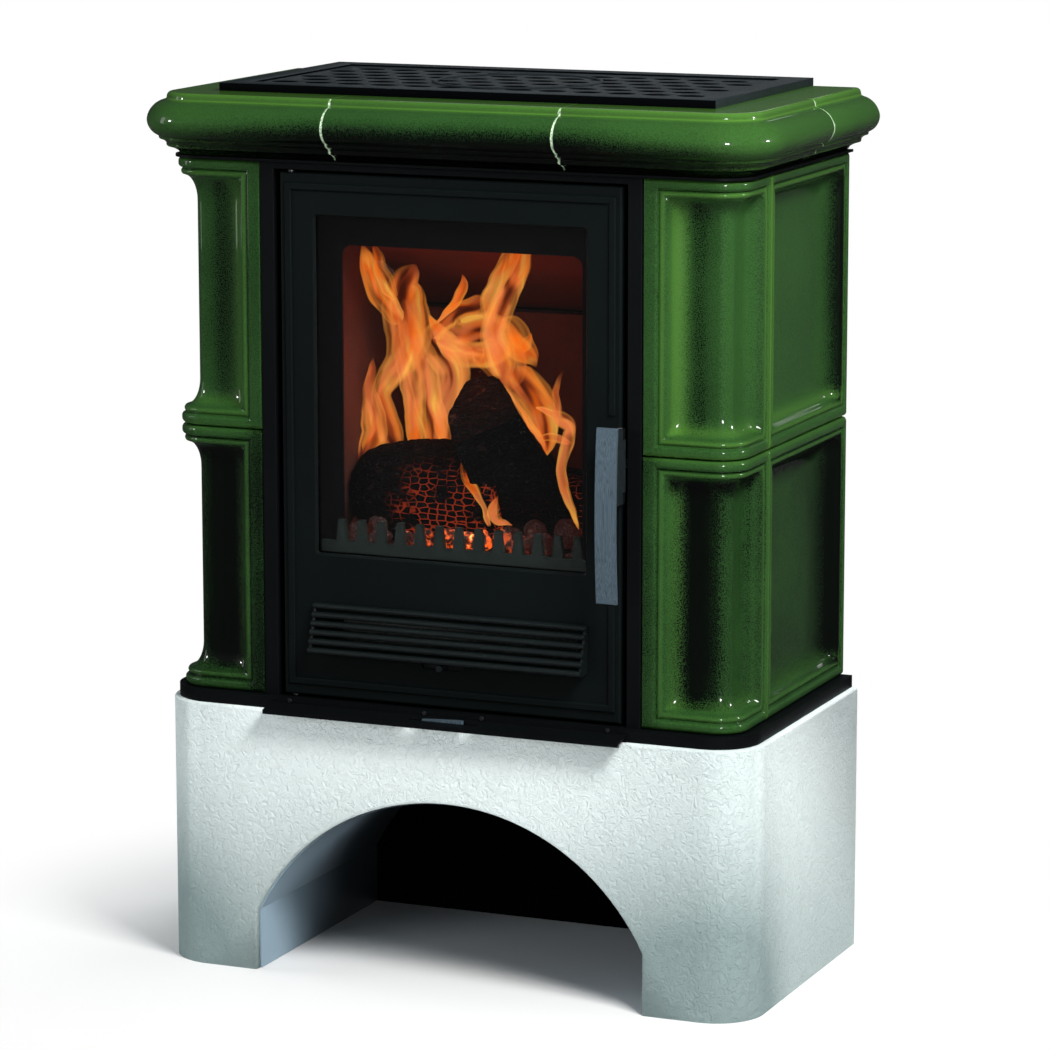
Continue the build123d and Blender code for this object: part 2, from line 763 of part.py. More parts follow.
def make_rear():
    y_high = rear_panel_face
    y_low = y_high - rear_sheet
    panel = block(-rear_panel_half, rear_panel_half, y_low, y_high, base_top, tile_top)
    panel += block(-rear_panel_half, -rear_panel_half + rear_sheet, y_low - 14, y_high, base_top, tile_top)
    panel += block(rear_panel_half - rear_sheet, rear_panel_half, y_low - 14, y_high, base_top, tile_top)
    panel -= rod_back(0, flue_height, y_low - 1, y_high + 1, flue_radius + 0.5)
    panel -= vent_row(y_low - 1, y_high + 1, base_top + 30)
    panel -= vent_row(y_low - 1, y_high + 1, base_top + 46)
    save("rear_heat_shield", panel)

    half = rear_upper_half
    upper = block(-half, half, y_low, y_high, cornice_bottom, cornice_top - 0.3)
    upper += block(-half, half, y_low - 12, y_high, cornice_bottom, cornice_bottom + rear_sheet)
    upper -= vent_row(y_low - 1, y_high + 1, cornice_bottom + 30)
    upper -= vent_row(y_low - 1, y_high + 1, cornice_bottom + 46)
    save("rear_upper_panel", upper)


# ---- firebox lining ----
def make_lining():
    floor_low = brick_floor_level
    floor_high = floor_low + brick_floor
    x_out = shell_inner - brick_gap
    floor = block(-x_out, x_out, brick_front, shell_rear - shell_sheet - brick_gap, floor_low, floor_high)
    y_mid = grate_middle()
    hole_half = grate_length / 2 + 0.5
    hole_depth = grate_width / 2 + 0.5
    y_hole = (y_mid - hole_depth, y_mid + hole_depth)
    floor -= block(-hole_half, hole_half, *y_hole, floor_low - 1, floor_high + 1)
    rim = floor.edges().group_by(Axis.Z)[-1]
    rim = [e for e in rim if abs(e.center().X) < hole_half + 1]
    rim = [e for e in rim if abs(e.center().Y - y_mid) < hole_depth + 1]
    save("hearth_floor", chamfer(rim, 9))

    grate = block(-grate_length / 2, grate_length / 2, y_mid - grate_width / 2, y_mid + grate_width / 2,
                  floor_low, floor_low + grate_thickness)
    slots = []
    span = grate_length - 2 * grate_ledge - 10
    for i in range(grate_slots):
        x = (i - (grate_slots - 1) / 2) * span / (grate_slots - 1)
        slots.append(Pos(x, y_mid) * Rectangle(grate_slot_width, grate_width - 2 * grate_ledge - 16))
    grate -= upright(Sketch(children=slots), floor_low - 1, floor_low + grate_thickness + 1)
    save("fire_grate", grate)

    y_back = brick_rear_face - brick_gap
    for name, side in (("left", -1), ("right", 1)):
        x_pair = sorted((side * x_out, side * (x_out - brick_side)))
        brick = block(*x_pair, brick_front, y_back, floor_high, brick_top)
        save("firebrick_" + name, chamfer(inner_uprights(brick, side), 3))
    y_rear = shell_rear - shell_sheet - brick_gap
    rear = block(-x_out, x_out, brick_rear_face, y_rear, floor_high, baffle_rear_height - 2)
    save("firebrick_rear", rear)

    x_in = brick_face - 2 * brick_gap
    thickness = baffle_thickness
    y_front = brick_front + baffle_front_gap
    section = outline((y_rear, baffle_rear_height), (y_rear, baffle_rear_height + thickness),
                      (y_front, baffle_front_height + thickness), (y_front, baffle_front_height))
    save("baffle", across(section, -x_in, x_in))
    slope = (baffle_front_height - baffle_rear_height) / (y_front - y_rear)
    y_near = (y_front + y_rear - ledge_length) / 2
    y_far = y_near + ledge_length
    z_near = baffle_rear_height + slope * (y_near - y_rear) - slide_gap
    z_far = baffle_rear_height + slope * (y_far - y_rear) - slide_gap
    section = outline((y_near, z_near), (y_far, z_far),
                      (y_far, z_far - ledge_sheet), (y_near, z_near - ledge_sheet))
    ledges = [across(section, brick_face - ledge_reach, brick_face),
              across(section, -brick_face, ledge_reach - brick_face)]
    save("baffle_ledges", Compound(children=ledges))


def inner_uprights(brick, side):
    edges = brick.edges().filter_by(Axis.Z).sort_by(Axis.X)
    return edges[:2] if side > 0 else edges[-2:]


def make_retainer():
    """The toothed bar that keeps logs off the glass, on two lugs in front of the front plate."""
    z_low = fire_bottom - retainer_drop
    z_root = z_low + retainer_bar_height
    z_tip = z_root + retainer_tooth_height
    half = retainer_half_width
    each_side = int((half - retainer_tooth_root / 2) / retainer_tooth_pitch)
    bar = outline((-half, z_low), (half, z_low), (half, z_root), (-half, z_root))
    for i in range(-each_side, each_side + 1):
        x = i * retainer_tooth_pitch
        root = retainer_tooth_root / 2
        tip = retainer_tooth_tip / 2
        bar += outline((x - root, z_root - 1), (x + root, z_root - 1), (x + tip, z_tip), (x - tip, z_tip))
    y_high = body_face - retainer_standoff
    retainer = backwards(bar, y_high - retainer_thickness, y_high)
    lug = retainer_lug_width / 2
    for x in (-fire_half_width, fire_half_width):
        retainer += block(x - lug, x + lug, y_high, body_face, z_low, fire_bottom - 1)
    save("log_retainer", retainer)


# ---- ash pan ----
def make_ash_pan():
    y_low = pan_front
    y_high = y_low + pan_depth
    z_low = pan_bottom
    z_high = z_low + pan_height
    pan = block(-pan_half_width, pan_half_width, y_low, y_high, z_low, z_high)
    pan = fillet(pan.edges().filter_by(Axis.Z), 6)
    t = pan_sheet
    hollow = block(-pan_half_width + t, pan_half_width - t, y_low + t, y_high - t, z_low + t, z_high + 1)
    pan -= fillet(hollow.edges().filter_by(Axis.Z), 6 - t)
    grip_half = pan_handle_half
    y_grip = y_low - pan_handle_reach
    grip = block(-grip_half, grip_half, y_grip, y_low + 0.5, z_high - 14, z_high - 12)
    grip += block(-grip_half, grip_half, y_grip, y_grip + 2, z_high - 24, z_high - 12)
    save("ash_pan", pan + grip)

    runners = []
    for side in (-1, 1):
        x_low, x_high = sorted((side * (pan_half_width + 1.0), side * (pan_half_width - runner_width)))
        z_base = base_top + shell_sheet
        rail = block(x_low, x_high, y_low, y_high + 30, z_base, z_base + runner_height)
        rail -= block(x_low + runner_sheet, x_high - runner_sheet, y_low - 1, y_high + 31,
                      z_base - 1, z_base + runner_height - runner_sheet)
        x_fence = sorted((side * (pan_half_width + 0.4), side * (pan_half_width + 2.4)))
        rail += block(*x_fence, y_low, y_high + 30, z_base, z_base + runner_height + 10)
        runners.append(rail)
    save("pan_runners", Compound(children=runners))


# ---- door ----
def ring_frame(half_width, z_low, z_high, width, y_low, y_high):
    frame = block(-half_width, half_width, y_low, y_high, z_low, z_high)
    inner = half_width - width
    return frame - block(-inner, inner, y_low - 1, y_high + 1, z_low + width, z_high - width)


def make_door_frame():
    y_low = door_face
    y_high = door_back
    t = door_sheet
    half = door_half_width
    frame = block(-half, half, y_low, y_high, door_bottom, door_top)
    frame = fillet(frame.faces().sort_by(Axis.Y)[0].edges(), door_edge_round)
    frame -= block(-half + t, half - t, y_low + t, y_high + 1, door_bottom + t, door_top - t)
    frame += ring_frame(seal_channel_half, door_bottom + t, door_top - t, seal_channel_width,
                        y_low + t - 0.5, y_low + t + seal_channel_depth)

    window_mid = (window_bottom + window_top) / 2
    window = Pos(0, window_mid) * RectangleRounded(2 * window_half_width, window_top - window_bottom, 3)
    frame -= backwards(window, y_low - 1, y_low + t + 1)
    rim = [e for e in frame.edges() if abs(e.center().Y - y_low) < 0.01]
    rim = [e for e in rim if abs(e.center().X) < window_half_width + 1]
    rim = [e for e in rim if window_bottom - 1 < e.center().Z < window_top + 1]
    frame = chamfer(rim, window_chamfer)

    bead_low = door_bottom + bead_bottom_margin
    bead_high = door_top - bead_top_margin
    bead = ring_frame(bead_outer_half, bead_low, bead_high, bead_width, y_low - bead_rise, y_low + 1)
    crest = [e for e in bead.edges() if abs(e.center().Y - (y_low - bead_rise)) < 0.01]
    bead = fillet(crest, bead_rise - 0.3)
    bead -= block(bead_outer_half - bead_width - 2, bead_outer_half + 2, y_low - 9, y_low,
                  bead_break_low, bead_break_high)
    frame += bead

    # Hinge bosses with the pins' bores.
    for z_low in (door_bottom + 0.5, door_top - 0.5 - hinge_boss_height):
        frame += block(hinge_x - 6, hinge_x + hinge_boss - 6, hinge_y - 8.5, hinge_y + 8.5,
                       z_low, z_low + hinge_boss_height)
    bore = hinge_pin_radius + hinge_fit
    frame -= rod(hinge_x, hinge_y, door_bottom - 1, door_bottom + hinge_engage + 1, bore)
    frame -= rod(hinge_x, hinge_y, door_top - hinge_engage - 1, door_top + 1, bore)

    # The louvre's air opening, the secondary air slot and the latch notch.
    inset = louvre_inset
    frame -= block(-louvre_half_width + inset, louvre_half_width - inset, y_low - 1, y_low + t + 1,
                   louvre_bottom + inset, louvre_top - inset)
    knob_z = louvre_bottom - air_knob_drop
    slot = Pos(air_knob_place, knob_z) * SlotOverall(2 * air_slot_half, 2 * air_slot_height)
    frame -= backwards(slot, y_low - 1, y_low + t + 1)
    frame -= block(door_half_width - notch_width, door_half_width + 1, y_low - 1, y_high + 1,
                   tongue_height - notch_half_height, tongue_height + notch_half_height)
    frame = add_latch_lugs(frame)
    for x, z in door_clip_places():
        frame -= rod_back(x, z, y_low + 1.2, y_low + t + 1, clip_screw_radius)
    return frame


def add_latch_lugs(frame):
    """Two lugs on the door's edge that carry the handle's pivot pin."""
    for z_low in (bracket_low, bracket_high - lug_height):
        lug = rod(pivot_place, pivot_y, z_low, z_low + lug_height, boss_radius - 0.5)
        lug += block(pivot_place - boss_radius - 3, pivot_place - 1, pivot_y - 3, door_face + 1,
                     z_low, z_low + lug_height)
        lug -= block(door_half_width - 1, door_half_width + 15, door_face - 0.2, door_back - 5,
                     z_low - 1, z_low + lug_height + 1)
        frame += lug
    return frame - rod(pivot_place, pivot_y, bracket_low - 1, bracket_high + 1, pivot_radius)


def door_clip_places():
    """Centres of the glass clips: two on each long side, one above and one below."""
    x_side = glass_half_width + clip_gap + clip_width / 2
    z_low = window_bottom - glass_lap - clip_gap - clip_width / 2
    z_high = window_top + glass_lap + clip_gap + clip_width / 2
    z_quarter = (window_top - window_bottom) / 4
    z_mid = (window_top + window_bottom) / 2
    places = [(side * x_side, z_mid + step * z_quarter) for side in (-1, 1) for step in (-1, 1)]
    return places + [(-90.0, z_low), (90.0, z_low), (-90.0, z_high), (90.0, z_high)]


def make_glass_and_clips():
    z_low = window_bottom - glass_lap
    z_high = window_top + glass_lap
    half = glass_half_width
    glass = block(-half, half, glass_face, glass_face + glass_thickness, z_low, z_high)
    save("door_glass", chamfer(glass.edges().filter_by(Axis.Y, reverse=True), 0.6))
    save("glass_seal", ring_frame(half, z_low, z_high, glass_lap - 1.5, door_face + door_sheet, glass_face))

    clips = []
    screws = []
    y_low = door_face + door_sheet
    y_top = glass_face + glass_thickness + clip_gap
    z_mid = (window_top + window_bottom) / 2
    for x, z in door_clip_places():
        along_side = abs(x) > half
        reach = clip_width / 2
        if along_side:
            side = 1 if x > 0 else -1
            foot = block(x - reach, x + reach, y_low, y_top, z - clip_length / 2, z + clip_length / 2)
            x_pair = sorted((x + side * reach, x - side * (reach + clip_gap + clip_lap)))
            arm = block(*x_pair, y_top, y_top + clip_thickness, z - clip_length / 2, z + clip_length / 2)
        else:
            side = 1 if z > z_mid else -1
            foot = block(x - clip_length / 2, x + clip_length / 2, y_low, y_top, z - reach, z + reach)
            z_pair = sorted((z + side * reach, z - side * (reach + clip_gap + clip_lap)))
            arm = block(x - clip_length / 2, x + clip_length / 2, y_top, y_top + clip_thickness, *z_pair)
        clips.append(foot + arm - rod_back(x, z, y_low - 1, y_top + 10, clip_screw_radius))
        screw = rod_back(x, z, y_low - 2.5, y_top + clip_thickness + 0.5, clip_screw_radius)
        hexagon = Pos(x, z) * RegularPolygon(clip_screw_radius + 1.6, 6)
        y_head = y_top + clip_thickness
        screws.append(screw + backwards(hexagon, y_head, y_head + 1.8))
    save("glass_clips", Compound(children=clips))
    save("clip_screws", Compound(children=screws))


def make_door_seal():
    """A rope, pressed flat by its channel, in a rounded rectangle against the front plate."""
    y = body_face - seal_gap - seal_radius
    mid = (seal_low + seal_high) / 2
    path = Plane(origin=(0, y, mid), x_dir=(1, 0, 0), z_dir=(0, -1, 0)) * RectangleRounded(
        2 * seal_x, seal_high - seal_low, 14
    )
    wire = path.wire()
    start = Plane(origin=wire @ 0, z_dir=wire % 0)
    section = Rot(0, 0, 22.5) * RegularPolygon(seal_radius, seal_sides, major_radius=False)
    save("door_seal", sweep(start * section, path=wire))


def make_louvre():
    """Six round-nosed ribs, each standing further out than the one above, between two cheeks."""
    pitch = (louvre_top - louvre_bottom - rib_height) / (louvre_ribs - 1)
    radius = rib_height / 2
    ribs = None
    for i in range(louvre_ribs):
        z = louvre_top - radius - i * pitch
        reach = rib_top_reach + (rib_bottom_reach - rib_top_reach) * i / (louvre_ribs - 1)
        nose = door_face - reach + radius
        y_end = min(nose + rib_depth, door_face)
        section = Pos(nose, z) * Circle(radius)
        section += outline((nose, z - radius), (y_end, z - radius), (y_end, z + radius), (nose, z + radius))
        section -= block_face(y_end, y_end + rib_height, z - rib_height, z + rib_height)
        rib = across(section, -louvre_half_width, louvre_half_width)
        ribs = rib if ribs is None else ribs + rib
    y_face = door_face
    cheek = outline((y_face, louvre_bottom + 0.5), (y_face, louvre_top - 0.5),
                    (y_face - rib_top_reach + radius, louvre_top - 0.5),
                    (y_face - rib_bottom_reach + radius, louvre_bottom + 0.5))
    half = louvre_half_width
    ribs += across(cheek, -half + 0.5, -half + 0.5 + louvre_cheek)
    ribs += across(cheek, half - 0.5 - louvre_cheek, half - 0.5)
    save("louvre_panel", ribs)

    knob_z = louvre_bottom - air_knob_drop
    y_plate = door_face + door_sheet + air_plate_gap
    plate_half = air_slot_half + air_travel
    x_plate = (air_knob_place - plate_half, air_knob_place + plate_half)
    plate = block(*x_plate, y_plate, y_plate + air_plate_sheet, knob_z - 11, knob_z + 11)
    save("secondary_air_slide", plate)
    knob = rod_back(air_knob_place, knob_z, door_face - air_knob_reach, y_plate, air_knob_radius - 0.6)
    head = rod_back(air_knob_place, knob_z, door_face - air_knob_reach, door_face - 2, air_knob_radius)
    knob += chamfer(head.edges().group_by(Axis.Y)[0], 1.0)
    save("secondary_air_knob", knob)


def make_handle():
    mid = (handle_low + handle_high) / 2
    y_back = handle_face
    y_front = handle_face - handle_thickness
    inner = ThreePointArc((y_back, handle_low), (y_back - handle_bow, mid), (y_back, handle_high))
    outer = ThreePointArc((y_front, handle_high), (y_front - handle_bow, mid), (y_front, handle_low))
    section = make_face(inner + Line((y_back, handle_high), (y_front, handle_high)) + outer
                        + Line((y_front, handle_low), (y_back, handle_low)))
    bar = across(section, handle_left, handle_right)
    save("handle_bar", chamfer(bar.edges().filter_by(Axis.X), 0.6))

    z_low = bracket_low + lug_height + lug_gap
    z_high = bracket_high - lug_height - lug_gap
    x_low = pivot_place - bracket_width / 2 - 2
    x_high = pivot_place + boss_radius
    arm = block(x_low, x_high, handle_face - handle_bow - 1, pivot_y, bracket_low, bracket_high)
    arm = fillet(arm.edges().filter_by(Axis.Z), 2.5)
    lug_space = (x_low - 1, x_high + 1, pivot_y - boss_radius - lug_gap, pivot_y + 9)
    arm -= block(*lug_space, z_high, bracket_high + 1)
    arm -= block(*lug_space, bracket_low - 1, z_low)
    boss = rod(pivot_place, pivot_y, z_low, z_high, boss_radius)
    arm += boss - block(x_low - 1, x_high + 1, pivot_y + tongue_seat, pivot_y + 9, bracket_low, bracket_high)
    arm -= across(section, handle_left - 5, handle_right + 5)
    arm -= block(x_low - 1, x_high + 1, handle_face - 20, handle_face - handle_bow - 0.6,
                 bracket_low - 1, bracket_high + 1)
    arm -= rod(pivot_place, pivot_y, bracket_low - 1, bracket_high + 1, pivot_radius + pivot_fit)
    keep = arm.solids().sort_by(SortBy.VOLUME)[-1]
    save("handle_bracket", keep)

    z0 = tongue_height - tongue_half_height
    z1 = tongue_height + tongue_half_height
    x_left = pivot_place - tongue_width
    tongue = block(x_left, pivot_place, pivot_y + tongue_seat, pivot_y + tongue_length, z0, z1)
    tongue += block(x_left, tongue_tip, pivot_y + tongue_length - 8, pivot_y + tongue_length, z0, z1)
    tongue = fillet(tongue.edges().filter_by(Axis.Z).sort_by(Axis.Y)[-2:], 1.5)
    save("latch_tongue", tongue)
    save("handle_pivot_pin", rod(pivot_place, pivot_y, bracket_low, bracket_high, pivot_radius))


def main():
    os.makedirs("parts", exist_ok=True)
    save("plinth", make_plinth())
    make_log_store()
    make_base()
    make_tiles()
    make_cornice()
    make_grille()
    make_surround()
    make_body()
    make_rear()
    make_lining()
    make_retainer()
    make_ash_pan()
    save("door_frame", make_door_frame())
    make_glass_and_clips()
    make_door_seal()
    make_louvre()
    make_handle()


main()
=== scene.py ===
import math
import random

import bpy
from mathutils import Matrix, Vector, noise


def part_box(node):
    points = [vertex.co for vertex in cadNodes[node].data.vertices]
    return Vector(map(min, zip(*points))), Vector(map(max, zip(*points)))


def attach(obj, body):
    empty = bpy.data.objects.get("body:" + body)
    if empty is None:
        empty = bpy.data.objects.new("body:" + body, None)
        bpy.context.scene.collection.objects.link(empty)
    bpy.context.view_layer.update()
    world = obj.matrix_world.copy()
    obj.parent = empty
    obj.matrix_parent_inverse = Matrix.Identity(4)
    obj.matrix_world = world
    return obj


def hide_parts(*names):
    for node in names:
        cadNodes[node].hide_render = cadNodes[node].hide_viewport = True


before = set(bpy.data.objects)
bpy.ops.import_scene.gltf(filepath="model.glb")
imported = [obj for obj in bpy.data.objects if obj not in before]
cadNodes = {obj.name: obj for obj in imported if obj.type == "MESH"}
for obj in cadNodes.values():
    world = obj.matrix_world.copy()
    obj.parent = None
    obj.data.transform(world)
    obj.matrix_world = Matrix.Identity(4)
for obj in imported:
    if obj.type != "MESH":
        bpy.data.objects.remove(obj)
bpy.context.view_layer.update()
mm = 0.001
sameSpot = 0.00001  # points nearer than this are one
bpy.ops.object.select_all(action="DESELECT")


# Small helpers for objects

def activate(piece):
    bpy.ops.object.select_all(action="DESELECT")
    piece.select_set(True)
    bpy.context.view_layer.objects.active = piece


def newest(name):
    piece = bpy.context.active_object
    piece.name = name
    piece.data.name = name
    return piece


def applyPlace(piece):
    activate(piece)
    bpy.ops.object.transform_apply(location=True, rotation=True, scale=True)


def editAll(piece):
    activate(piece)
    bpy.ops.object.mode_set(mode="EDIT")
    bpy.ops.mesh.select_all(action="SELECT")


def cleanUp(piece):
    editAll(piece)
    bpy.ops.mesh.remove_doubles(threshold=sameSpot)
    bpy.ops.mesh.normals_make_consistent(inside=False)
    bpy.ops.object.mode_set(mode="OBJECT")


def smooth(piece, degrees=50):
    activate(piece)
    bpy.ops.object.shade_smooth_by_angle(angle=math.radians(degrees))


def modify(piece, kind, **settings):
    activate(piece)
    modifier = piece.modifiers.new(kind.title(), kind)
    for key, value in settings.items():
        setattr(modifier, key, value)
    bpy.ops.object.modifier_apply(modifier=modifier.name)


def settle(piece, body, slotName, material, *standsFor):
    piece.data.materials.clear()
    piece.data.materials.append(material)
    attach(piece, body)
    if standsFor:
        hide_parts(*standsFor)
    piece.select_set(False)


def joined(pieces, name):
    activate(pieces[0])
    for piece in pieces:
        piece.select_set(True)
    bpy.ops.object.join()
    return newest(name)


def mirrored(piece, name):
    activate(piece)
    bpy.ops.object.duplicate()
    twin = newest(name)
    for vertex in twin.data.vertices:
        vertex.co.x = -vertex.co.x
    cleanUp(twin)
    smooth(twin)
    return twin


def copyOfNode(nodeName, name):
    activate(cadNodes[nodeName])
    bpy.ops.object.duplicate()
    copy = newest(name)
    copy.parent = None
    for key in list(copy.keys()):
        del copy[key]
    cleanUp(copy)
    smooth(copy, 35)
    return copy


def wrappedGrid(name, countX, countY, spot):
    # a grid primitive whose points go where spot(column, row) puts them
    bpy.ops.mesh.primitive_grid_add(x_subdivisions=countX, y_subdivisions=countY, size=1)
    piece = newest(name)
    for vertex in piece.data.vertices:
        vertex.co = spot(round((vertex.co.x + 0.5) * countX), round((vertex.co.y + 0.5) * countY))
    return piece


def paint(piece, label, values):
    layer = piece.data.attributes.new(label, "FLOAT", "POINT")
    for item, value in zip(layer.data, values):
        item.value = value


# writes the thin and pooled glaze masks, which also carry painted light and painted shade
def paintGlazeAndShade(piece, masks):
    paint(piece, "glazeThinAndLight", [thin for thin, pool in masks])
    paint(piece, "glazePoolAndShade", [pool for thin, pool in masks])


def rise(value, low, high):
    # 0 below low, 1 above high, with soft ends
    share = min(max((value - low) / (high - low), 0.0), 1.0)
    return share * share * (3 - 2 * share)


def bell(value, middle, width):
    return math.exp(-((value - middle) / width) ** 2)


# Small helpers for materials

def feed(tree, made, inputs):
    # a socket is linked, anything else becomes the input's fixed value
    for key, value in inputs.items():
        if isinstance(value, bpy.types.NodeSocket):
            tree.links.new(value, made.inputs[key])
        else:
            made.inputs[key].default_value = value


def add(tree, kind, inputs=None, **settings):
    made = tree.nodes.new(kind)
    for key, value in settings.items():
        setattr(made, key, value)
    feed(tree, made, inputs or {})
    return made


def newMaterial(name, fixed):
    material = bpy.data.materials.new(name)
    material.use_nodes = True
    tree = material.node_tree
    shader = tree.nodes["Principled BSDF"]
    feed(tree, shader, fixed)
    return material, tree, shader


def objectPlace(tree):
    return add(tree, "ShaderNodeTexCoord").outputs["Object"]


def painted(tree, label, output="Fac"):
    # the values that paint() wrote on the mesh
    return add(tree, "ShaderNodeAttribute", attribute_name=label).outputs[output]


def mixColor(tree, share, low, high, blend="MIX"):
    mix = add(tree, "ShaderNodeMix", {0: share, 6: low, 7: high}, data_type="RGBA", blend_type=blend)
    return mix.outputs[2]


def ramp(tree, value, low, high, outLow=0.0, outHigh=1.0):
    ends = {"From Min": low, "From Max": high, "To Min": outLow, "To Max": outHigh}
    ranged = add(tree, "ShaderNodeMapRange", {"Value": value, **ends}, interpolation_type="SMOOTHSTEP")
    return ranged.outputs["Result"]


def maths(tree, operation, first, second=0.0):
    return add(tree, "ShaderNodeMath", {0: first, 1: second}, operation=operation).outputs[0]


def plus(tree, first, second):
    return maths(tree, "ADD", first, second)


def times(tree, first, second):
    return maths(tree, "MULTIPLY", first, second)


def noiseOf(tree, where, scale, detail=2.0, **more):
    texture = add(tree, "ShaderNodeTexNoise", {"Vector": where, "Scale": scale, "Detail": detail, **more})
    return texture.outputs["Fac"]


def bumpOf(tree, shader, height, strength, distance):
    bump = add(tree, "ShaderNodeBump", {"Height": height, "Strength": strength, "Distance": distance})
    feed(tree, shader, {"Normal": bump.outputs["Normal"]})


def newGroup(name, inputs, outputs):
    # an input without a number is a vector
    group = bpy.data.node_groups.new(name, "ShaderNodeTree")
    for label, value in inputs.items():
        kind = "NodeSocketVector" if value is None else "NodeSocketFloat"
        socket = group.interface.new_socket(name=label, in_out="INPUT", socket_type=kind)
        if value is not None:
            socket.default_value = value
    for label in outputs:
        group.interface.new_socket(name=label, in_out="OUTPUT", socket_type="NodeSocketFloat")
    return group, group.nodes.new("NodeGroupInput"), group.nodes.new("NodeGroupOutput")


def place(tree, group, **inputs):
    return add(tree, "ShaderNodeGroup", inputs, node_tree=group).outputs


# Effects that several materials share

def makeGrain():
    group, entry, leave = newGroup(
        "grain", {"Vector": None, "Scale": 300.0, "Low": 0.4, "High": 0.6}, ["Mask", "Height"])
    height = noiseOf(group, entry.outputs["Vector"], entry.outputs["Scale"], 4.0, Roughness=0.6)
    mask = ramp(group, height, entry.outputs["Low"], entry.outputs["High"])
    feed(group, leave, {"Mask": mask, "Height": height})
    return group


def makeStreaks():
    # fine lines along Z, for brushed and drawn metal
    group, entry, leave = newGroup("streaks", {"Vector": None, "Across": 1800.0, "Along": 12.0}, ["Mask"])
    across, along = entry.outputs["Across"], entry.outputs["Along"]
    stretch = add(group, "ShaderNodeCombineXYZ", {"X": across, "Y": across, "Z": along})
    scaled = add(group, "ShaderNodeVectorMath", {0: entry.outputs["Vector"], 1: stretch.outputs["Vector"]},
                 operation="MULTIPLY")
    feed(group, leave, {"Mask": noiseOf(group, scaled.outputs["Vector"], 1.0, 3.0, Roughness=0.7)})
    return group


grain = makeGrain()
streaks = makeStreaks()


def grainMask(tree, where, scale, low, high):
    return place(tree, grain, Vector=where, Scale=scale, Low=low, High=high)["Mask"]


# The glaze: thin and bright on beads and edges, dark and speckled where it pools, with painted light and
# painted shade laid on the same masks

glazeLook = {
    "green": (0.0255, 0.0820, 0.0178, 1),
    # deep and pool are also the colours of painted shade, thin that of painted light
    "deep": (0.0085, 0.0300, 0.0070, 1),
    "thin": (0.0560, 0.1500, 0.0210, 1),
    "pool": (0.0006, 0.0018, 0.0009, 1),
    "speckScale": 760.0,
    "speckle": 0.55,       # how much the specks darken the open glaze
    "poolSpeckle": 0.54,   # how far they break up the rim of a pool
    "cloudScale": 7.0,
    "clouds": 0.16,
    "rippleScale": 24.0,
    "ripple": 0.06,
}


def makeGlaze():
    look = glazeLook
    material, tree, shader = newMaterial("greenGlaze", {
        "Roughness": 0.35, "Coat Weight": 1.0, "Coat Roughness": 0.03, "Coat IOR": 1.5,
        "Specular IOR Level": 0.1})
    where = objectPlace(tree)
    clouds = grainMask(tree, where, look["cloudScale"], 0.3, 0.7)
    specks = grainMask(tree, where, look["speckScale"], 0.40, 0.60)
    # pooled glaze and painted shade turn black, through a band of dark specks
    depth = plus(tree, painted(tree, "glazePoolAndShade"), times(tree, clouds, look["clouds"]))
    dark = ramp(tree, plus(tree, depth, times(tree, specks, look["poolSpeckle"])), 0.50, 1.15)
    tone = mixColor(tree, ramp(tree, depth, 0.0, 0.75), look["green"], look["deep"])
    tone = mixColor(tree, times(tree, specks, look["speckle"]), tone, look["deep"])
    tone = mixColor(tree, painted(tree, "glazeThinAndLight"), tone, look["thin"])
    feed(tree, shader, {"Base Color": mixColor(tree, dark, tone, look["pool"])})
    bumpOf(tree, shader, noiseOf(tree, where, look["rippleScale"]), look["ripple"], 0.004)
    return material


groutLook = {"color": (0.66, 0.80, 0.58, 1), "crack": (0.10, 0.22, 0.09, 1), "crumbScale": 520.0}


def makeGroutAndHighlight():
    # pale crackled filling in the cornice joints, whose pale line is also a painted highlight on the rounded
    # tile ends
    look = groutLook
    material, tree, shader = newMaterial("paleGroutAndHighlight", {"Roughness": 0.5, "Specular IOR Level": 0.4})
    crumbs = place(tree, grain, Vector=objectPlace(tree), Scale=look["crumbScale"], Low=0.36, High=0.6)
    feed(tree, shader, {"Base Color": mixColor(tree, crumbs["Mask"], look["crack"], look["color"])})
    bumpOf(tree, shader, crumbs["Height"], 0.6, 0.001)
    return material


# Painted steel, castings and the other metals

paintLook = {"mottleScale": 7.0, "mottle": 0.35, "roughSpread": 0.12, "bumpDepth": 0.0006}


def makePaint(name, color, roughness, grainScale=900.0, bump=0.12, lighter=1.7, shine=0.2):
    look = paintLook
    material, tree, shader = newMaterial(name, {"Specular IOR Level": shine})
    where = objectPlace(tree)
    fine = place(tree, grain, Vector=where, Scale=grainScale, Low=0.35, High=0.65)
    broad = grainMask(tree, where, look["mottleScale"], 0.3, 0.75)
    share = plus(tree, times(tree, fine["Mask"], look["mottle"]), times(tree, broad, look["mottle"]))
    brighter = tuple(c * lighter for c in color[:3]) + (1,)
    feed(tree, shader, {
        "Base Color": mixColor(tree, share, color, brighter),
        "Roughness": plus(tree, roughness, times(tree, fine["Mask"], look["roughSpread"]))})
    bumpOf(tree, shader, fine["Height"], bump, look["bumpDepth"])
    return material


sheetLook = {"color": (0.29, 0.39, 0.47, 1), "worn": (0.22, 0.31, 0.38, 1), "sootAndShadeTone": (0.010, 0.013, 0.015, 1),
             "sootAndShade": 0.92}


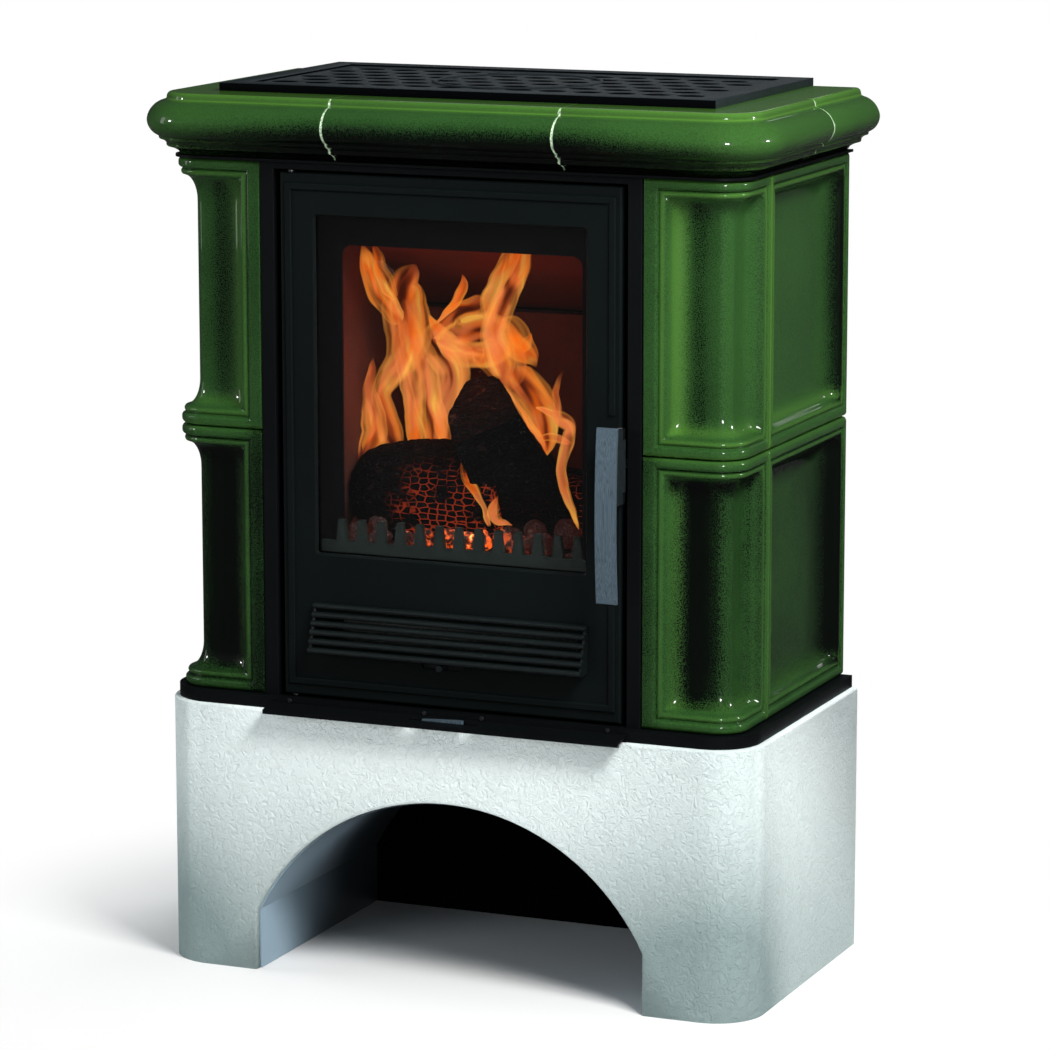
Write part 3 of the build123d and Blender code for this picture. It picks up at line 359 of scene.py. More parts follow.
def makeSheet():
    # grey sheet of the log store, with painted shade towards the back and the crown
    look = sheetLook
    material, tree, shader = newMaterial("storeGrey", {"Specular IOR Level": 0.35, "Roughness": 0.4})
    where = objectPlace(tree)
    spot = add(tree, "ShaderNodeSeparateXYZ", {0: where}).outputs
    # painted shade, darker towards the back and the crown of the vault
    sootAndShade = maths(tree, "MAXIMUM", ramp(tree, spot["Y"], -0.13, 0.06), ramp(tree, spot["Z"], 0.10, 0.22))
    broad = grainMask(tree, where, 5.0, 0.3, 0.7)
    tone = mixColor(tree, times(tree, broad, 0.3), look["color"], look["worn"])
    feed(tree, shader, {"Base Color": mixColor(tree, times(tree, sootAndShade, look["sootAndShade"]), tone, look["sootAndShadeTone"])})
    return material


metalLook = {"darker": 0.32, "roughSpread": 0.25, "bumpDepth": 0.0002}


def makeMetal(name, color, roughness, across=1800.0, along=12.0, bump=0.08, metal=0.7):
    look = metalLook
    material, tree, shader = newMaterial(name, {"Metallic": metal})
    lines = place(tree, streaks, Vector=objectPlace(tree), Across=across, Along=along)["Mask"]
    darker = tuple(c * look["darker"] for c in color[:3]) + (1,)
    feed(tree, shader, {
        "Base Color": mixColor(tree, ramp(tree, lines, 0.3, 0.7), darker, color),
        "Roughness": plus(tree, roughness, times(tree, lines, look["roughSpread"]))})
    bumpOf(tree, shader, lines, bump, look["bumpDepth"])
    return material


# White structured plaster with short raised wrinkles

plasterLook = {
    "color": (0.79, 0.87, 0.86, 1),
    "shade": (0.62, 0.71, 0.71, 1),
    # colour of the painted shade towards the floor and the front corners
    "shadedGrey": (0.235, 0.305, 0.305, 1),
    "wormScale": 140.0,
    "worms": 1.9,
    "ridges": 0.40,
    "sand": 0.22,
    "strength": 0.78,
    "depth": 0.0015,
}


def makePlaster():
    look = plasterLook
    material, tree, shader = newMaterial("whitePlaster", {"Roughness": 0.8, "Specular IOR Level": 0.3})
    where = objectPlace(tree)
    # short raised worms: lines of equal noise, broken up by a second noise
    worms = noiseOf(tree, where, look["wormScale"], 1.5, Roughness=0.5, Distortion=1.2)
    ridge = maths(tree, "ABSOLUTE", maths(tree, "SUBTRACT", worms, 0.5))
    gaps = grainMask(tree, where, 165.0, 0.38, 0.55)
    ridges = times(tree, ramp(tree, ridge, 0.0, 0.055, 1.0, 0.0), gaps)
    relief = plus(tree, times(tree, worms, look["worms"]), times(tree, ridges, look["ridges"]))
    relief = plus(tree, relief, times(tree, noiseOf(tree, where, 600.0, 3.0), look["sand"]))
    bumpOf(tree, shader, relief, look["strength"], look["depth"])
    broad = grainMask(tree, where, 4.0, 0.3, 0.75)
    tone = mixColor(tree, times(tree, broad, 0.25), look["color"], look["shade"])
    # painted shade: greyer towards the floor and the front corners
    spot = add(tree, "ShaderNodeSeparateXYZ", {0: where}).outputs
    low = ramp(tree, spot["Z"], 0.0, 0.27, 0.88, 0.0)
    ends = plus(tree, ramp(tree, spot["X"], 0.08, 0.34, 0.0, 0.42),
                ramp(tree, spot["X"], -0.34, -0.22, 0.32, 0.0))
    front = ramp(tree, spot["Y"], -0.19, -0.02, 1.0, 0.50)
    paintedShade = maths(tree, "MINIMUM", times(tree, plus(tree, low, ends), front), 1.0)
    feed(tree, shader, {"Base Color": mixColor(tree, paintedShade, tone, look["shadedGrey"])})
    return material


boardLook = {"color": (0.046, 0.0100, 0.0045, 1), "sootAndShadeTone": (0.014, 0.007, 0.006, 1), "flakeScale": 420.0,
             "sootAndShade": 0.75}


def makeBoard():
    # pressed vermiculite, reddish brown and sooty after many fires
    look = boardLook
    material, tree, shader = newMaterial("vermiculite", {"Roughness": 0.9, "Specular IOR Level": 0.15})
    where = objectPlace(tree)
    flakes = add(tree, "ShaderNodeTexVoronoi", {"Vector": where, "Scale": look["flakeScale"]})
    tone = mixColor(tree, 0.25, look["color"], flakes.outputs["Color"], "MULTIPLY")
    sootAndShade = times(tree, grainMask(tree, where, 6.0, 0.35, 0.75), look["sootAndShade"])
    feed(tree, shader, {"Base Color": mixColor(tree, sootAndShade, tone, look["sootAndShadeTone"])})
    bumpOf(tree, shader, noiseOf(tree, where, 500.0), 0.4, 0.001)
    return material


charLook = {
    "black": (0.0009, 0.0007, 0.0009, 1),
    "ash": (0.034, 0.020, 0.014, 1),
    "hot": (0.36, 0.034, 0.008, 1),
    "crackScale": 145.0,
    "crackStretch": (0.62, 0.62, 1.0),
    "glow": 0.65,
}


def makeChar():
    # charred wood: black scales, orange heat in the cracks of the lower front, grey ash in streaks
    look = charLook
    material, tree, shader = newMaterial("charredWood", {
        "Roughness": 0.85, "Specular IOR Level": 0.04, "Emission Strength": look["glow"]})
    where = objectPlace(tree)
    squeezed = add(tree, "ShaderNodeVectorMath", {0: where, 1: look["crackStretch"]}, operation="MULTIPLY")
    cells = {"Vector": squeezed.outputs["Vector"], "Scale": look["crackScale"], "Randomness": 0.45}
    edge = add(tree, "ShaderNodeTexVoronoi", cells, feature="DISTANCE_TO_EDGE").outputs["Distance"]
    patches = grainMask(tree, where, 38.0, 0.34, 0.56)
    hot = times(tree, times(tree, ramp(tree, edge, 0.01, 0.11, 1.0, 0.0), patches), painted(tree, "glowHeat"))
    fibre = noiseOf(tree, where, 55.0, 4.0, Distortion=1.8)
    feed(tree, shader, {
        "Emission Color": mixColor(tree, ramp(tree, hot, 0.02, 0.5), (0.0, 0.0, 0.0, 1), look["hot"]),
        "Base Color": mixColor(tree, ramp(tree, fibre, 0.60, 0.78, 0.0, 0.5), look["black"], look["ash"])})
    bumpOf(tree, shader, plus(tree, ramp(tree, edge, 0.0, 0.2), times(tree, fibre, 0.8)), 0.8, 0.004)
    return material


coalLook = {
    "dull": (0.006, 0.0007, 0.0004, 1),
    "red": (0.62, 0.075, 0.008, 1),
    "yellow": (1.0, 0.50, 0.14, 1),
    "black": (0.008, 0.006, 0.006, 1),
    "ash": (0.05, 0.04, 0.038, 1),
    "glow": 2.2,
}


def makeEmber():
    look = coalLook
    material, tree, shader = newMaterial("glowingEmber", {
        "Roughness": 0.95, "Specular IOR Level": 0.1, "Emission Strength": look["glow"]})
    where = objectPlace(tree)
    spots = grainMask(tree, where, 120.0, 0.42, 0.66)
    hot = times(tree, spots, painted(tree, "glowHeat"))
    glow = mixColor(tree, ramp(tree, hot, 0.05, 0.75), look["dull"], look["red"])
    ash = grainMask(tree, where, 300.0, 0.5, 0.7)
    feed(tree, shader, {
        "Emission Color": mixColor(tree, ramp(tree, hot, 0.70, 1.0), glow, look["yellow"]),
        "Base Color": mixColor(tree, ash, look["black"], look["ash"])})
    bumpOf(tree, shader, spots, 0.7, 0.002)
    return material


blazeLook = {
    "orange": (1.0, 0.160, 0.006, 1),
    "peach": (0.92, 0.235, 0.070, 1),
    "red": (0.50, 0.050, 0.005, 1),
    "yellow": (1.0, 0.50, 0.075, 1),
    "glow": 1.2,
    "sheetCover": 0.52,
    "brightCover": 0.70,
}


def makeFlame():
    # streaks run along each tongue; it is bright near its rim and clear at its sides and tip
    look = blazeLook
    material, tree, shader = newMaterial("woodFlame", {
        "Base Color": (0, 0, 0, 1), "Roughness": 1.0, "Specular IOR Level": 0.0,
        "Emission Strength": look["glow"]})
    across, along = painted(tree, "flameAcross"), painted(tree, "flameAlong")
    licks = noiseOf(tree, painted(tree, "flameFlow", "Vector"), 1.0, 1.0, Roughness=0.4, Distortion=0.3)
    threads = ramp(tree, licks, 0.60, 0.75)
    sheet = ramp(tree, licks, 0.37, 0.60, 0.06, 1.0)
    rim = times(tree, ramp(tree, across, 0.35, 0.84), ramp(tree, across, 0.86, 1.0, 1.0, 0.0))
    tipward = ramp(tree, along, 0.45, 1.0, 1.0, 0.35)
    bright = times(tree, maths(tree, "MAXIMUM", times(tree, rim, 0.50), threads), tipward)
    hue = grainMask(tree, objectPlace(tree), 9.0, 0.42, 0.58)
    full = mixColor(tree, hue, look["orange"], look["peach"])
    tone = mixColor(tree, times(tree, sheet, tipward), look["red"], full)
    # the sheet is clear between its lines and fades out at its sides and tip
    cover = maths(tree, "MAXIMUM", times(tree, sheet, look["sheetCover"]),
                  times(tree, bright, look["brightCover"]))
    ends = times(tree, ramp(tree, along, 0.0, 0.06), ramp(tree, along, 0.80, 1.0, 1.0, 0.0))
    sides = ramp(tree, across, 0.72, 1.0, 1.0, 0.0)
    feed(tree, shader, {
        "Emission Color": mixColor(tree, bright, tone, look["yellow"]),
        "Alpha": times(tree, times(tree, cover, ends), sides)})
    return material


def makeWoven(name, color, lighter=2.2):
    # braided or woven glass fibre
    material, tree, shader = newMaterial(name, {"Roughness": 0.95})
    weave = add(tree, "ShaderNodeTexWave", {"Vector": objectPlace(tree), "Scale": 260.0, "Distortion": 1.5},
                wave_type="BANDS", bands_direction="DIAGONAL").outputs["Fac"]
    brighter = tuple(c * lighter for c in color[:3]) + (1,)
    feed(tree, shader, {"Base Color": mixColor(tree, weave, color, brighter)})
    bumpOf(tree, shader, weave, 0.6, 0.001)
    return material


def makeGlass():
    material, tree, shader = newMaterial("ceramicGlass", {
        "Base Color": (0.95, 0.95, 0.94, 1), "Roughness": 0.0, "IOR": 1.5, "Transmission Weight": 1.0})
    clear = add(tree, "ShaderNodeBsdfTransparent", {"Color": (0.92, 0.92, 0.90, 1)})
    shadowRay = add(tree, "ShaderNodeLightPath").outputs["Is Shadow Ray"]
    mix = add(tree, "ShaderNodeMixShader", {0: shadowRay, 1: shader.outputs[0], 2: clear.outputs[0]})
    feed(tree, tree.nodes["Material Output"], {"Surface": mix.outputs[0]})
    return material


glaze = makeGlaze()
groutAndHighlight = makeGroutAndHighlight()
plaster = makePlaster()
board = makeBoard()
glass = makeGlass()
blackSteel = makePaint("blackSteel", (0.0022, 0.0028, 0.0032, 1), 0.40, shine=0.10)
doorBlack = makePaint("doorBlack", (0.0026, 0.0042, 0.0042, 1), 0.42, shine=0.10)
innerBlack = makePaint("innerBlack", (0.0007, 0.0008, 0.0012, 1), 0.60, shine=0.03)
louvreBlack = makePaint("louvreBlack", (0.0040, 0.0062, 0.0066, 1), 0.34, shine=0.45)
castBlack = makePaint("castBlack", (0.0075, 0.0105, 0.0120, 1), 0.38, grainScale=260.0, bump=0.5,
                      lighter=2.4, shine=0.40)
retainerGrey = makePaint("retainerGrey", (0.0042, 0.0070, 0.0066, 1), 0.5, grainScale=420.0, bump=0.3,
                         shine=0.1)
shieldGrey = makePaint("shieldGrey", (0.040, 0.043, 0.046, 1), 0.5, shine=0.3)
storeGrey = makeSheet()
plainSteel = makeMetal("plainSteel", (0.42, 0.42, 0.43, 1), 0.35)
darkSteel = makeMetal("darkSteel", (0.05, 0.05, 0.055, 1), 0.40)
# painted reflection: the handle's steel is half diffuse, with a bluish tone for what it would mirror
brushedSteelAndReflection = makeMetal("brushedSteelAndReflection", (0.15, 0.215, 0.27, 1), 0.26, across=2600.0, along=26.0, bump=0.2,
                         metal=0.45)
ropeGrey = makeWoven("ropeGrey", (0.03, 0.03, 0.03, 1))
tapeBlack = makeWoven("tapeBlack", (0.003, 0.003, 0.004, 1))
charred = makeChar()
ember = makeEmber()
flame = makeFlame()
print("materials made")


# The pieces that stay as the CAD made them get their finish

finishes = {
    blackSteel: ["base_plate", "ash_lip", "top_frame_plate", "front_surround", "rear_upper_panel"],
    doorBlack: ["door_frame"],
    louvreBlack: ["louvre_panel"],
    innerBlack: ["front_plate", "firebox_shell", "log_store_back"],
    castBlack: ["blanking_lid", "fire_grate", "handle_bracket", "secondary_air_knob"],
    retainerGrey: ["log_retainer"],
    storeGrey: ["log_store_vault", "log_store_side_left", "log_store_side_right"],
    plainSteel: ["latch_keeper", "hinge_pins", "baffle_ledges", "pan_runners", "glass_clips",
                 "handle_pivot_pin", "latch_tongue", "ash_pan"],
    darkSteel: ["base_screws", "clip_screws", "secondary_air_slide"],
    shieldGrey: ["rear_heat_shield"],
    brushedSteelAndReflection: ["handle_bar", "air_slider"],
    board: ["hearth_floor", "firebrick_left", "firebrick_right", "firebrick_rear", "baffle"],
    ropeGrey: ["door_seal"],
    tapeBlack: ["glass_seal"],
    glass: ["door_glass"],
}
for material, names in finishes.items():
    for nodeName in names:
        mesh = cadNodes[nodeName].data
        mesh.materials.clear()
        mesh.materials.append(material)
print("finishes set on the CAD pieces")


# Relief tiles

tileLook = {
    "cornerRadius": 35.0,  # all sizes in mm
    "ringRound": 5.5,      # round of the top and bottom edges
    "endRound": 1.6,       # round of the upright edges at the joints
    "innerRound": 4.5,     # round of the band towards the sunk field
    "railGroove": 5.5,     # depth of the line beside the bead, above and below the field
    "railRise": 2.6,       # how far the bead stands up from that line
    "beadWidth": 8.0,
    "fieldDepth": 21.0,
    "coveHigh": 30.0,      # height of the coves above and below the field
    "railWidth": 12.5,
    "soft": 0.16,          # how softly the coves of two sides meet
    "wall": 30.0,
    "fineStep": 1.0,       # mesh steps near the edges, further in and in the middle
    "fineReach": 25.0,
    "midStep": 2.4,
    "midReach": 52.0,
    "coarseStep": 7.0,
    "bendMargin": 6.0,
}


def gridLines(length, bendFrom=None, bendTo=None):
    look = tileLook
    lines = [0.0]
    while lines[-1] < length - 0.4:
        here = lines[-1]
        edge = min(here, length - here)
        step = look["coarseStep"]
        if edge < look["fineReach"]:
            step = look["fineStep"]
        elif edge < look["midReach"]:
            step = look["midStep"]
        if bendFrom is not None and bendFrom - look["bendMargin"] < here < bendTo + look["bendMargin"]:
            step = min(step, look["midStep"])
        lines.append(min(here + step, length))
    lines[-1] = length
    return lines


def roundOff(distance, radius):
    if distance >= radius:
        return 0.0
    return radius - math.sqrt(max(radius**2 - (radius - distance)**2, 0.0))


def nearShares(gaps):
    # how much each of the four sides counts at a place, the nearest most
    nearest = min(gaps)
    shares = [math.exp(-(gap - nearest) / 4.0) for gap in gaps]
    return [share / sum(shares) for share in shares]


def reliefDepth(along, up, length, height, side):
    # how far the surface lies behind the tile's outer face, in mm
    look = tileLook
    edges = (along, length - along, up, height - up)
    bands = (*side["stiles"], look["railWidth"], look["railWidth"])
    rounds = (look["endRound"], look["endRound"], look["ringRound"], look["ringRound"])
    widths = (*side["coves"], look["coveHigh"], look["coveHigh"])
    gaps = [edge - band for edge, band in zip(edges, bands)]
    grooves = (*side["grooves"], look["railGroove"], look["railGroove"])
    rises = (*side["rises"], look["railRise"], look["railRise"])
    near = nearShares(gaps)
    groove = sum(share * size for share, size in zip(near, grooves))
    crest = sum(share * size for share, size in zip(near, rises))
    inside = min(gaps)
    if inside <= 0:
        depth = max(roundOff(edge, radius) for edge, radius in zip(edges, rounds))
        return max(depth, min(roundOff(-inside, look["innerRound"]) * groove / look["innerRound"], groove))
    if inside < look["beadWidth"]:
        return groove - crest * math.sin(math.pi * inside / look["beadWidth"]) ** 0.75
    parts = [(gap - look["beadWidth"]) / width for gap, width in zip(gaps, widths)]
    share = -look["soft"] * math.log(sum(math.exp(-max(part, 0.0) / look["soft"]) for part in parts))
    share = min(max(share, 0.0), 1.0)
    return groove + (look["fieldDepth"] - groove) * math.sqrt(max(1 - (1 - share) ** 2, 0.0))


# painted shade: the lower tiles are darker than the upper ones, and the left tiles than the right ones:
# factors of the thin glaze with its painted light and of the pooled glaze with its painted shade, and what
# the sunk field and the left tiles add to the pool
tierShade = {
    "lower": {"thin": 0.42, "pool": 1.35, "rear": 0.0, "field": 0.26, "left": 0.18},
    "upper": {"thin": 1.0, "pool": 0.62, "rear": 0.38, "field": 0.0, "left": 0.08},
}
# painted shade: the left tiles keep only this share of the thin, bright glaze
leftShadeThin = 0.6


def tileGlazeAndShade(along, up, length, height, side, tier):
    # where the glaze runs thin and where it pools, each 0 to 1, with painted light and painted shade laid
    # into both
    look = tileLook
    gaps = (along - side["stiles"][0], length - along - side["stiles"][1],
            up - look["railWidth"], height - up - look["railWidth"])
    inside = min(gaps)
    thin = 0.60 * bell(inside, look["beadWidth"] / 2, 2.6)
    thin += 0.55 * (bell(up, 0, 4) + bell(height - up, 0, 4))
    thin += 0.65 * bell(length - along if side["jointAtEnd"] else along, 0, 7)
    inField = rise(inside, 8, 14)
    # painted light on the first cove and on the bottom cove, which face the lamps
    thin += inField * side["bright"] * bell(gaps[0], 17, 11)
    thin += 0.40 * inField * bell(gaps[2], 14, 8)
    # painted shade: the deepest pool stands beside the bright cove and fades out along the bend
    pool = inField * side["shadow"] * rise(gaps[0], 12, 44) * math.exp(-max(gaps[0] - 42, 0) / 20)
    # painted shadow under the top band, painted shade in the rear cove, less of it on the bottom cove, and
    # painted shade on the first band
    pool = max(pool, 0.34 * rise(inside, 6, 14) * bell(gaps[3], 17, 12))
    pool = max(pool, side["rear"] * rise(inside, 2, 8) * math.exp(-max(gaps[1] - 4, 0) / 22))
    pool *= 1 - 0.6 * bell(gaps[2], 14, 9)
    pool = max(pool, side["near"] * (1 - rise(inside, -4, 2)) * bell(along, 4, 16))
    # darker in the creases beside the bead: pooled glaze with painted shade
    pool += 0.25 * bell(inside, 0.0, 1.6) + 0.15 * bell(inside, look["beadWidth"], 1.6)
    # painted shade by tier: the lower tiles get less thin glaze and more pool, the upper ones more pool
    # towards the rear
    shade = tierShade[tier]
    thin *= shade["thin"]
    pool = pool * (shade["pool"] + shade["rear"] * rise(-gaps[1], -40, 0)) + shade["field"] * inField
    return min(thin, 1.0), min(pool, 1.0)


def buildTile(name, length, height, side, wrap, bottom, tier, bend=(None, None)):
    alongLines = gridLines(length, *bend)
    upLines = gridLines(height)
    countX, countY = len(alongLines) - 1, len(upLines) - 1
    bpy.ops.mesh.primitive_grid_add(x_subdivisions=countX, y_subdivisions=countY, size=1)
    tile = newest(name)
    editAll(tile)
    bpy.ops.mesh.extrude_region_move(TRANSFORM_OT_translate={"value": (0, 0, 1)})
    bpy.ops.object.mode_set(mode="OBJECT")
    masks = []
    for vertex in tile.data.vertices:
        along = alongLines[round((vertex.co.x + 0.5) * countX)]
        up = upLines[round((vertex.co.y + 0.5) * countY)]
        depth = tileLook["wall"]
        if vertex.co.z > 0.5:
            depth = reliefDepth(along, up, length, height, side)
        masks.append(tileGlazeAndShade(along, up, length, height, side, tier))
        x, y = wrap(along, depth)
        vertex.co = (x * mm, y * mm, bottom + up * mm)
    paintGlazeAndShade(tile, masks)
    cleanUp(tile)
    smooth(tile)
    return tile


# the corner tile starts at the door's surround, and the side tile follows on from its other end
cornerSides = {
    "stiles": (17.0, 8.0),     # flat bands at the start and the end, in mm
    "coves": (26.0, 20.0),     # coves beside them, and the line and bead between
    "grooves": (3.2, 2.2),
    "rises": (1.2, 0.9),
    "bright": 0.62,            # thin glaze and painted light in the first cove
    "shadow": 0.70,            # painted shade after it, in the last cove and on the first band
    "rear": 0.10,
    "near": 0.28,
    "jointAtEnd": True,
}
sideSides = {
    "stiles": (8.0, 8.0),
    "coves": (30.0, 52.0),
    "grooves": (2.2, 2.6),
    "rises": (0.9, 1.0),
    "bright": 0.10,
    "shadow": 0.03,
    "rear": 1.00,
    "near": 0.0,
    "jointAtEnd": False,
}


def makeTiles():
    cornerLow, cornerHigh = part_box("upper_corner_tile_right")
    sideLow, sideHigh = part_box("upper_side_tile_right")
    xStart, xOut = cornerLow.x / mm, cornerHigh.x / mm
    yFront, ySide = cornerLow.y / mm, cornerHigh.y / mm
    radius = tileLook["cornerRadius"]
    flat = xOut - radius - xStart
    quarter = radius * math.pi / 2

    def wrapCorner(along, depth):
        if along <= flat:
            return xStart + along, yFront + depth
        if along >= flat + quarter:
            return xOut - depth, yFront + radius + along - flat - quarter
        angle = (along - flat) / radius
        reach = radius - depth
        return xOut - radius + reach * math.sin(angle), yFront + radius - reach * math.cos(angle)

    def wrapSide(along, depth):
        return xOut - depth, sideLow.y / mm + along

    length = flat + quarter + ySide - yFront - radius
    for tier in ("lower", "upper"):
        low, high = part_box(tier + "_corner_tile_right")
        height = (high.z - low.z) / mm
        corner = buildTile(tier + "CornerTileRight", length, height, cornerSides, wrapCorner, low.z,
                           tier, (flat, flat + quarter))
        side = buildTile(tier + "SideTileRight", (sideHigh.y - sideLow.y) / mm, height, sideSides,
                         wrapSide, low.z, tier)
        for piece, kind in ((corner, "Corner"), (side, "Side")):
            node = tier + "_" + kind.lower() + "_tile_"
            twin = mirrored(piece, tier + kind + "TileLeft")
            # painted shade on the left tiles: less thin glaze and more pool
            for item in twin.data.attributes["glazeThinAndLight"].data:
                item.value *= leftShadeThin
            for item in twin.data.attributes["glazePoolAndShade"].data:
                item.value = min(item.value + tierShade[tier]["left"], 1.0)
            settle(piece, "root", "tile_glaze", glaze, node + "right")
            settle(twin, "root", "tile_glaze", glaze, node + "left")


makeTiles()
print("tiles made")


# Cornice mouldings

corniceLook = {
    "height": 70.0,        # all sizes in mm
    "reach": 35.0,         # out from the tile face
    "inner": -63.0,        # in from the tile face
    "cornerRadius": 35.0,
    "bendSteps": 18,
    "endStep": 1.2,        # the rounded ends are two of these long
    "endDraw": 0.8,        # share of that by which they draw in
    "endFrom": -20.0,      # further in than this the ends stay straight
    "groutWidth": 3.4,
    "groutSunk": 0.5,
    "groutOut": 0.4,       # its middle beyond the corner piece's end
    "groutInner": -30.0,
}


def arcPoints(start, middle, end, count):
    # points on the circle through three points, start left out
    (ax, ay), (bx, by), (cx, cy) = start, middle, end
    a, b, c = ax**2 + ay**2, bx**2 + by**2, cx**2 + cy**2
    double = 2 * (ax * (by - cy) + bx * (cy - ay) + cx * (ay - by))
    ux = (a * (by - cy) + b * (cy - ay) + c * (ay - by)) / double
    uy = (a * (cx - bx) + b * (ax - cx) + c * (bx - ax)) / double
    radius = math.hypot(ax - ux, ay - uy)
    first = math.atan2(ay - uy, ax - ux)
    last = math.atan2(cy - uy, cx - ux)
    through = math.atan2(by - uy, bx - ux)
    turn = (last - first) % (2 * math.pi)
    if (through - first) % (2 * math.pi) > turn:
        turn -= 2 * math.pi
    angles = [first + turn * i / count for i in range(1, count + 1)]
    return [(ux + radius * math.cos(angle), uy + radius * math.sin(angle)) for angle in angles]


def cutCorners(points, passes=2):
    # each pass rounds the corners a little more, as glaze does
    for _ in range(passes):
        rounded = [points[0]]
        for (ax, ay), (bx, by) in zip(points, points[1:]):
            rounded.append((0.75 * ax + 0.25 * bx, 0.75 * ay + 0.25 * by))
            rounded.append((0.25 * ax + 0.75 * bx, 0.25 * ay + 0.75 * by))
        points = rounded + [points[-1]]
    return points


def corniceProfile():
    # reach out from the tile face and height above the foot, in mm
    top, inner = corniceLook["height"], corniceLook["inner"]
    points = [(-12, 0), (-5, 0), (-2, 0.6), (-1, 3)]
    points += arcPoints((-1, 3), (5.2, 6.6), (12, 8.5), 4)
    points += [(13.2, 10), (13, 12.5)]
    points += arcPoints((13, 12.5), (16.2, 15.6), (20.5, 17), 3)
    points += [(21.8, 18.2), (21.5, 20.5)]
    points += arcPoints((21.5, 20.5), (31.5, 28), (35, 39.5), 6)
    points += arcPoints((35, 39.5), (29, 52.5), (14, 61), 7)
    points += [(12.2, 62.3)]
    points += arcPoints((12, 62.5), (11.4, 67.0), (8, top), 3)
    points += [(2, top)]
    return [(inner, 0)] + cutCorners(points) + [(inner, top)]


def corniceGlazeAndShade(reach, up, shade):
    # thin along the quirk and the top, the top's extra brightness being painted light; pooled and dark under
    # the big round, which is painted shade
    thin = 0.75 * bell(up, 62.4, 1.1) * rise(reach, 8, 11) + 0.45 * bell(up, corniceLook["height"], 2.5)
    thin += 0.40 * rise(up, 60, 64) + shade["thin"]
    thin += shade["beads"] * (bell(up, 9.5, 1.2) + bell(up, 17.6, 1.2)) * rise(reach, 8, 12)
    pool = shade["pool"] * (1 - rise(up, shade["from"], shade["to"])) * rise(reach, -20, -5)
    return min(thin, 1.0), min(pool, 1.0)


# painted shade under the big round, deep on the front; the side pieces get less of it, and painted light on
# their beads and all over
frontShade = {"pool": 0.95, "from": 22.0, "to": 58.0, "beads": 0.125, "thin": 0.0}
sideShade = {"pool": 0.40, "from": 8.0, "to": 40.0, "beads": 0.45, "thin": 0.195}


def buildCornice(name, stations, wrap, bottom, shadeAt, shrink=0.0, inner=None):
    profile = corniceProfile()
    if inner is not None:
        profile = [(max(reach, inner), up) for reach, up in profile]
    half = corniceLook["height"] / 2
    masks = []

    def spot(column, row):
        reach, up = profile[row % len(profile)]
        masks.append(corniceGlazeAndShade(reach, up, shadeAt(stations[column])))
        x, y = wrap(stations[column], reach - shrink)
        return x * mm, y * mm, bottom + (half + (up - half) * (1 - shrink / half)) * mm

    piece = wrappedGrid(name, len(stations) - 1, len(profile), spot)
    paintGlazeAndShade(piece, masks)
    editAll(piece)
    bpy.ops.mesh.remove_doubles(threshold=sameSpot)
    bpy.ops.mesh.select_all(action="DESELECT")
    bpy.ops.mesh.select_mode(type="EDGE")
    bpy.ops.mesh.select_non_manifold()
    bpy.ops.mesh.edge_face_add()
    bpy.ops.object.mode_set(mode="OBJECT")
    cleanUp(piece)
    smooth(piece)
    return piece


def endStations(low, high):
    # two close stations at each end give the worn edge its width
    step = corniceLook["endStep"]
    return [low, low + step, low + 2 * step, high - 2 * step, high - step, high]


def endDraw(station, reach, low, high):
    # how far the moulding draws in at its rounded ends, in mm
    look = corniceLook
    if reach <= look["endFrom"]:
        return 0.0
    edge = min(station - low, high - station)
    return roundOff(max(edge, 0.0), 2 * look["endStep"]) * look["endDraw"]


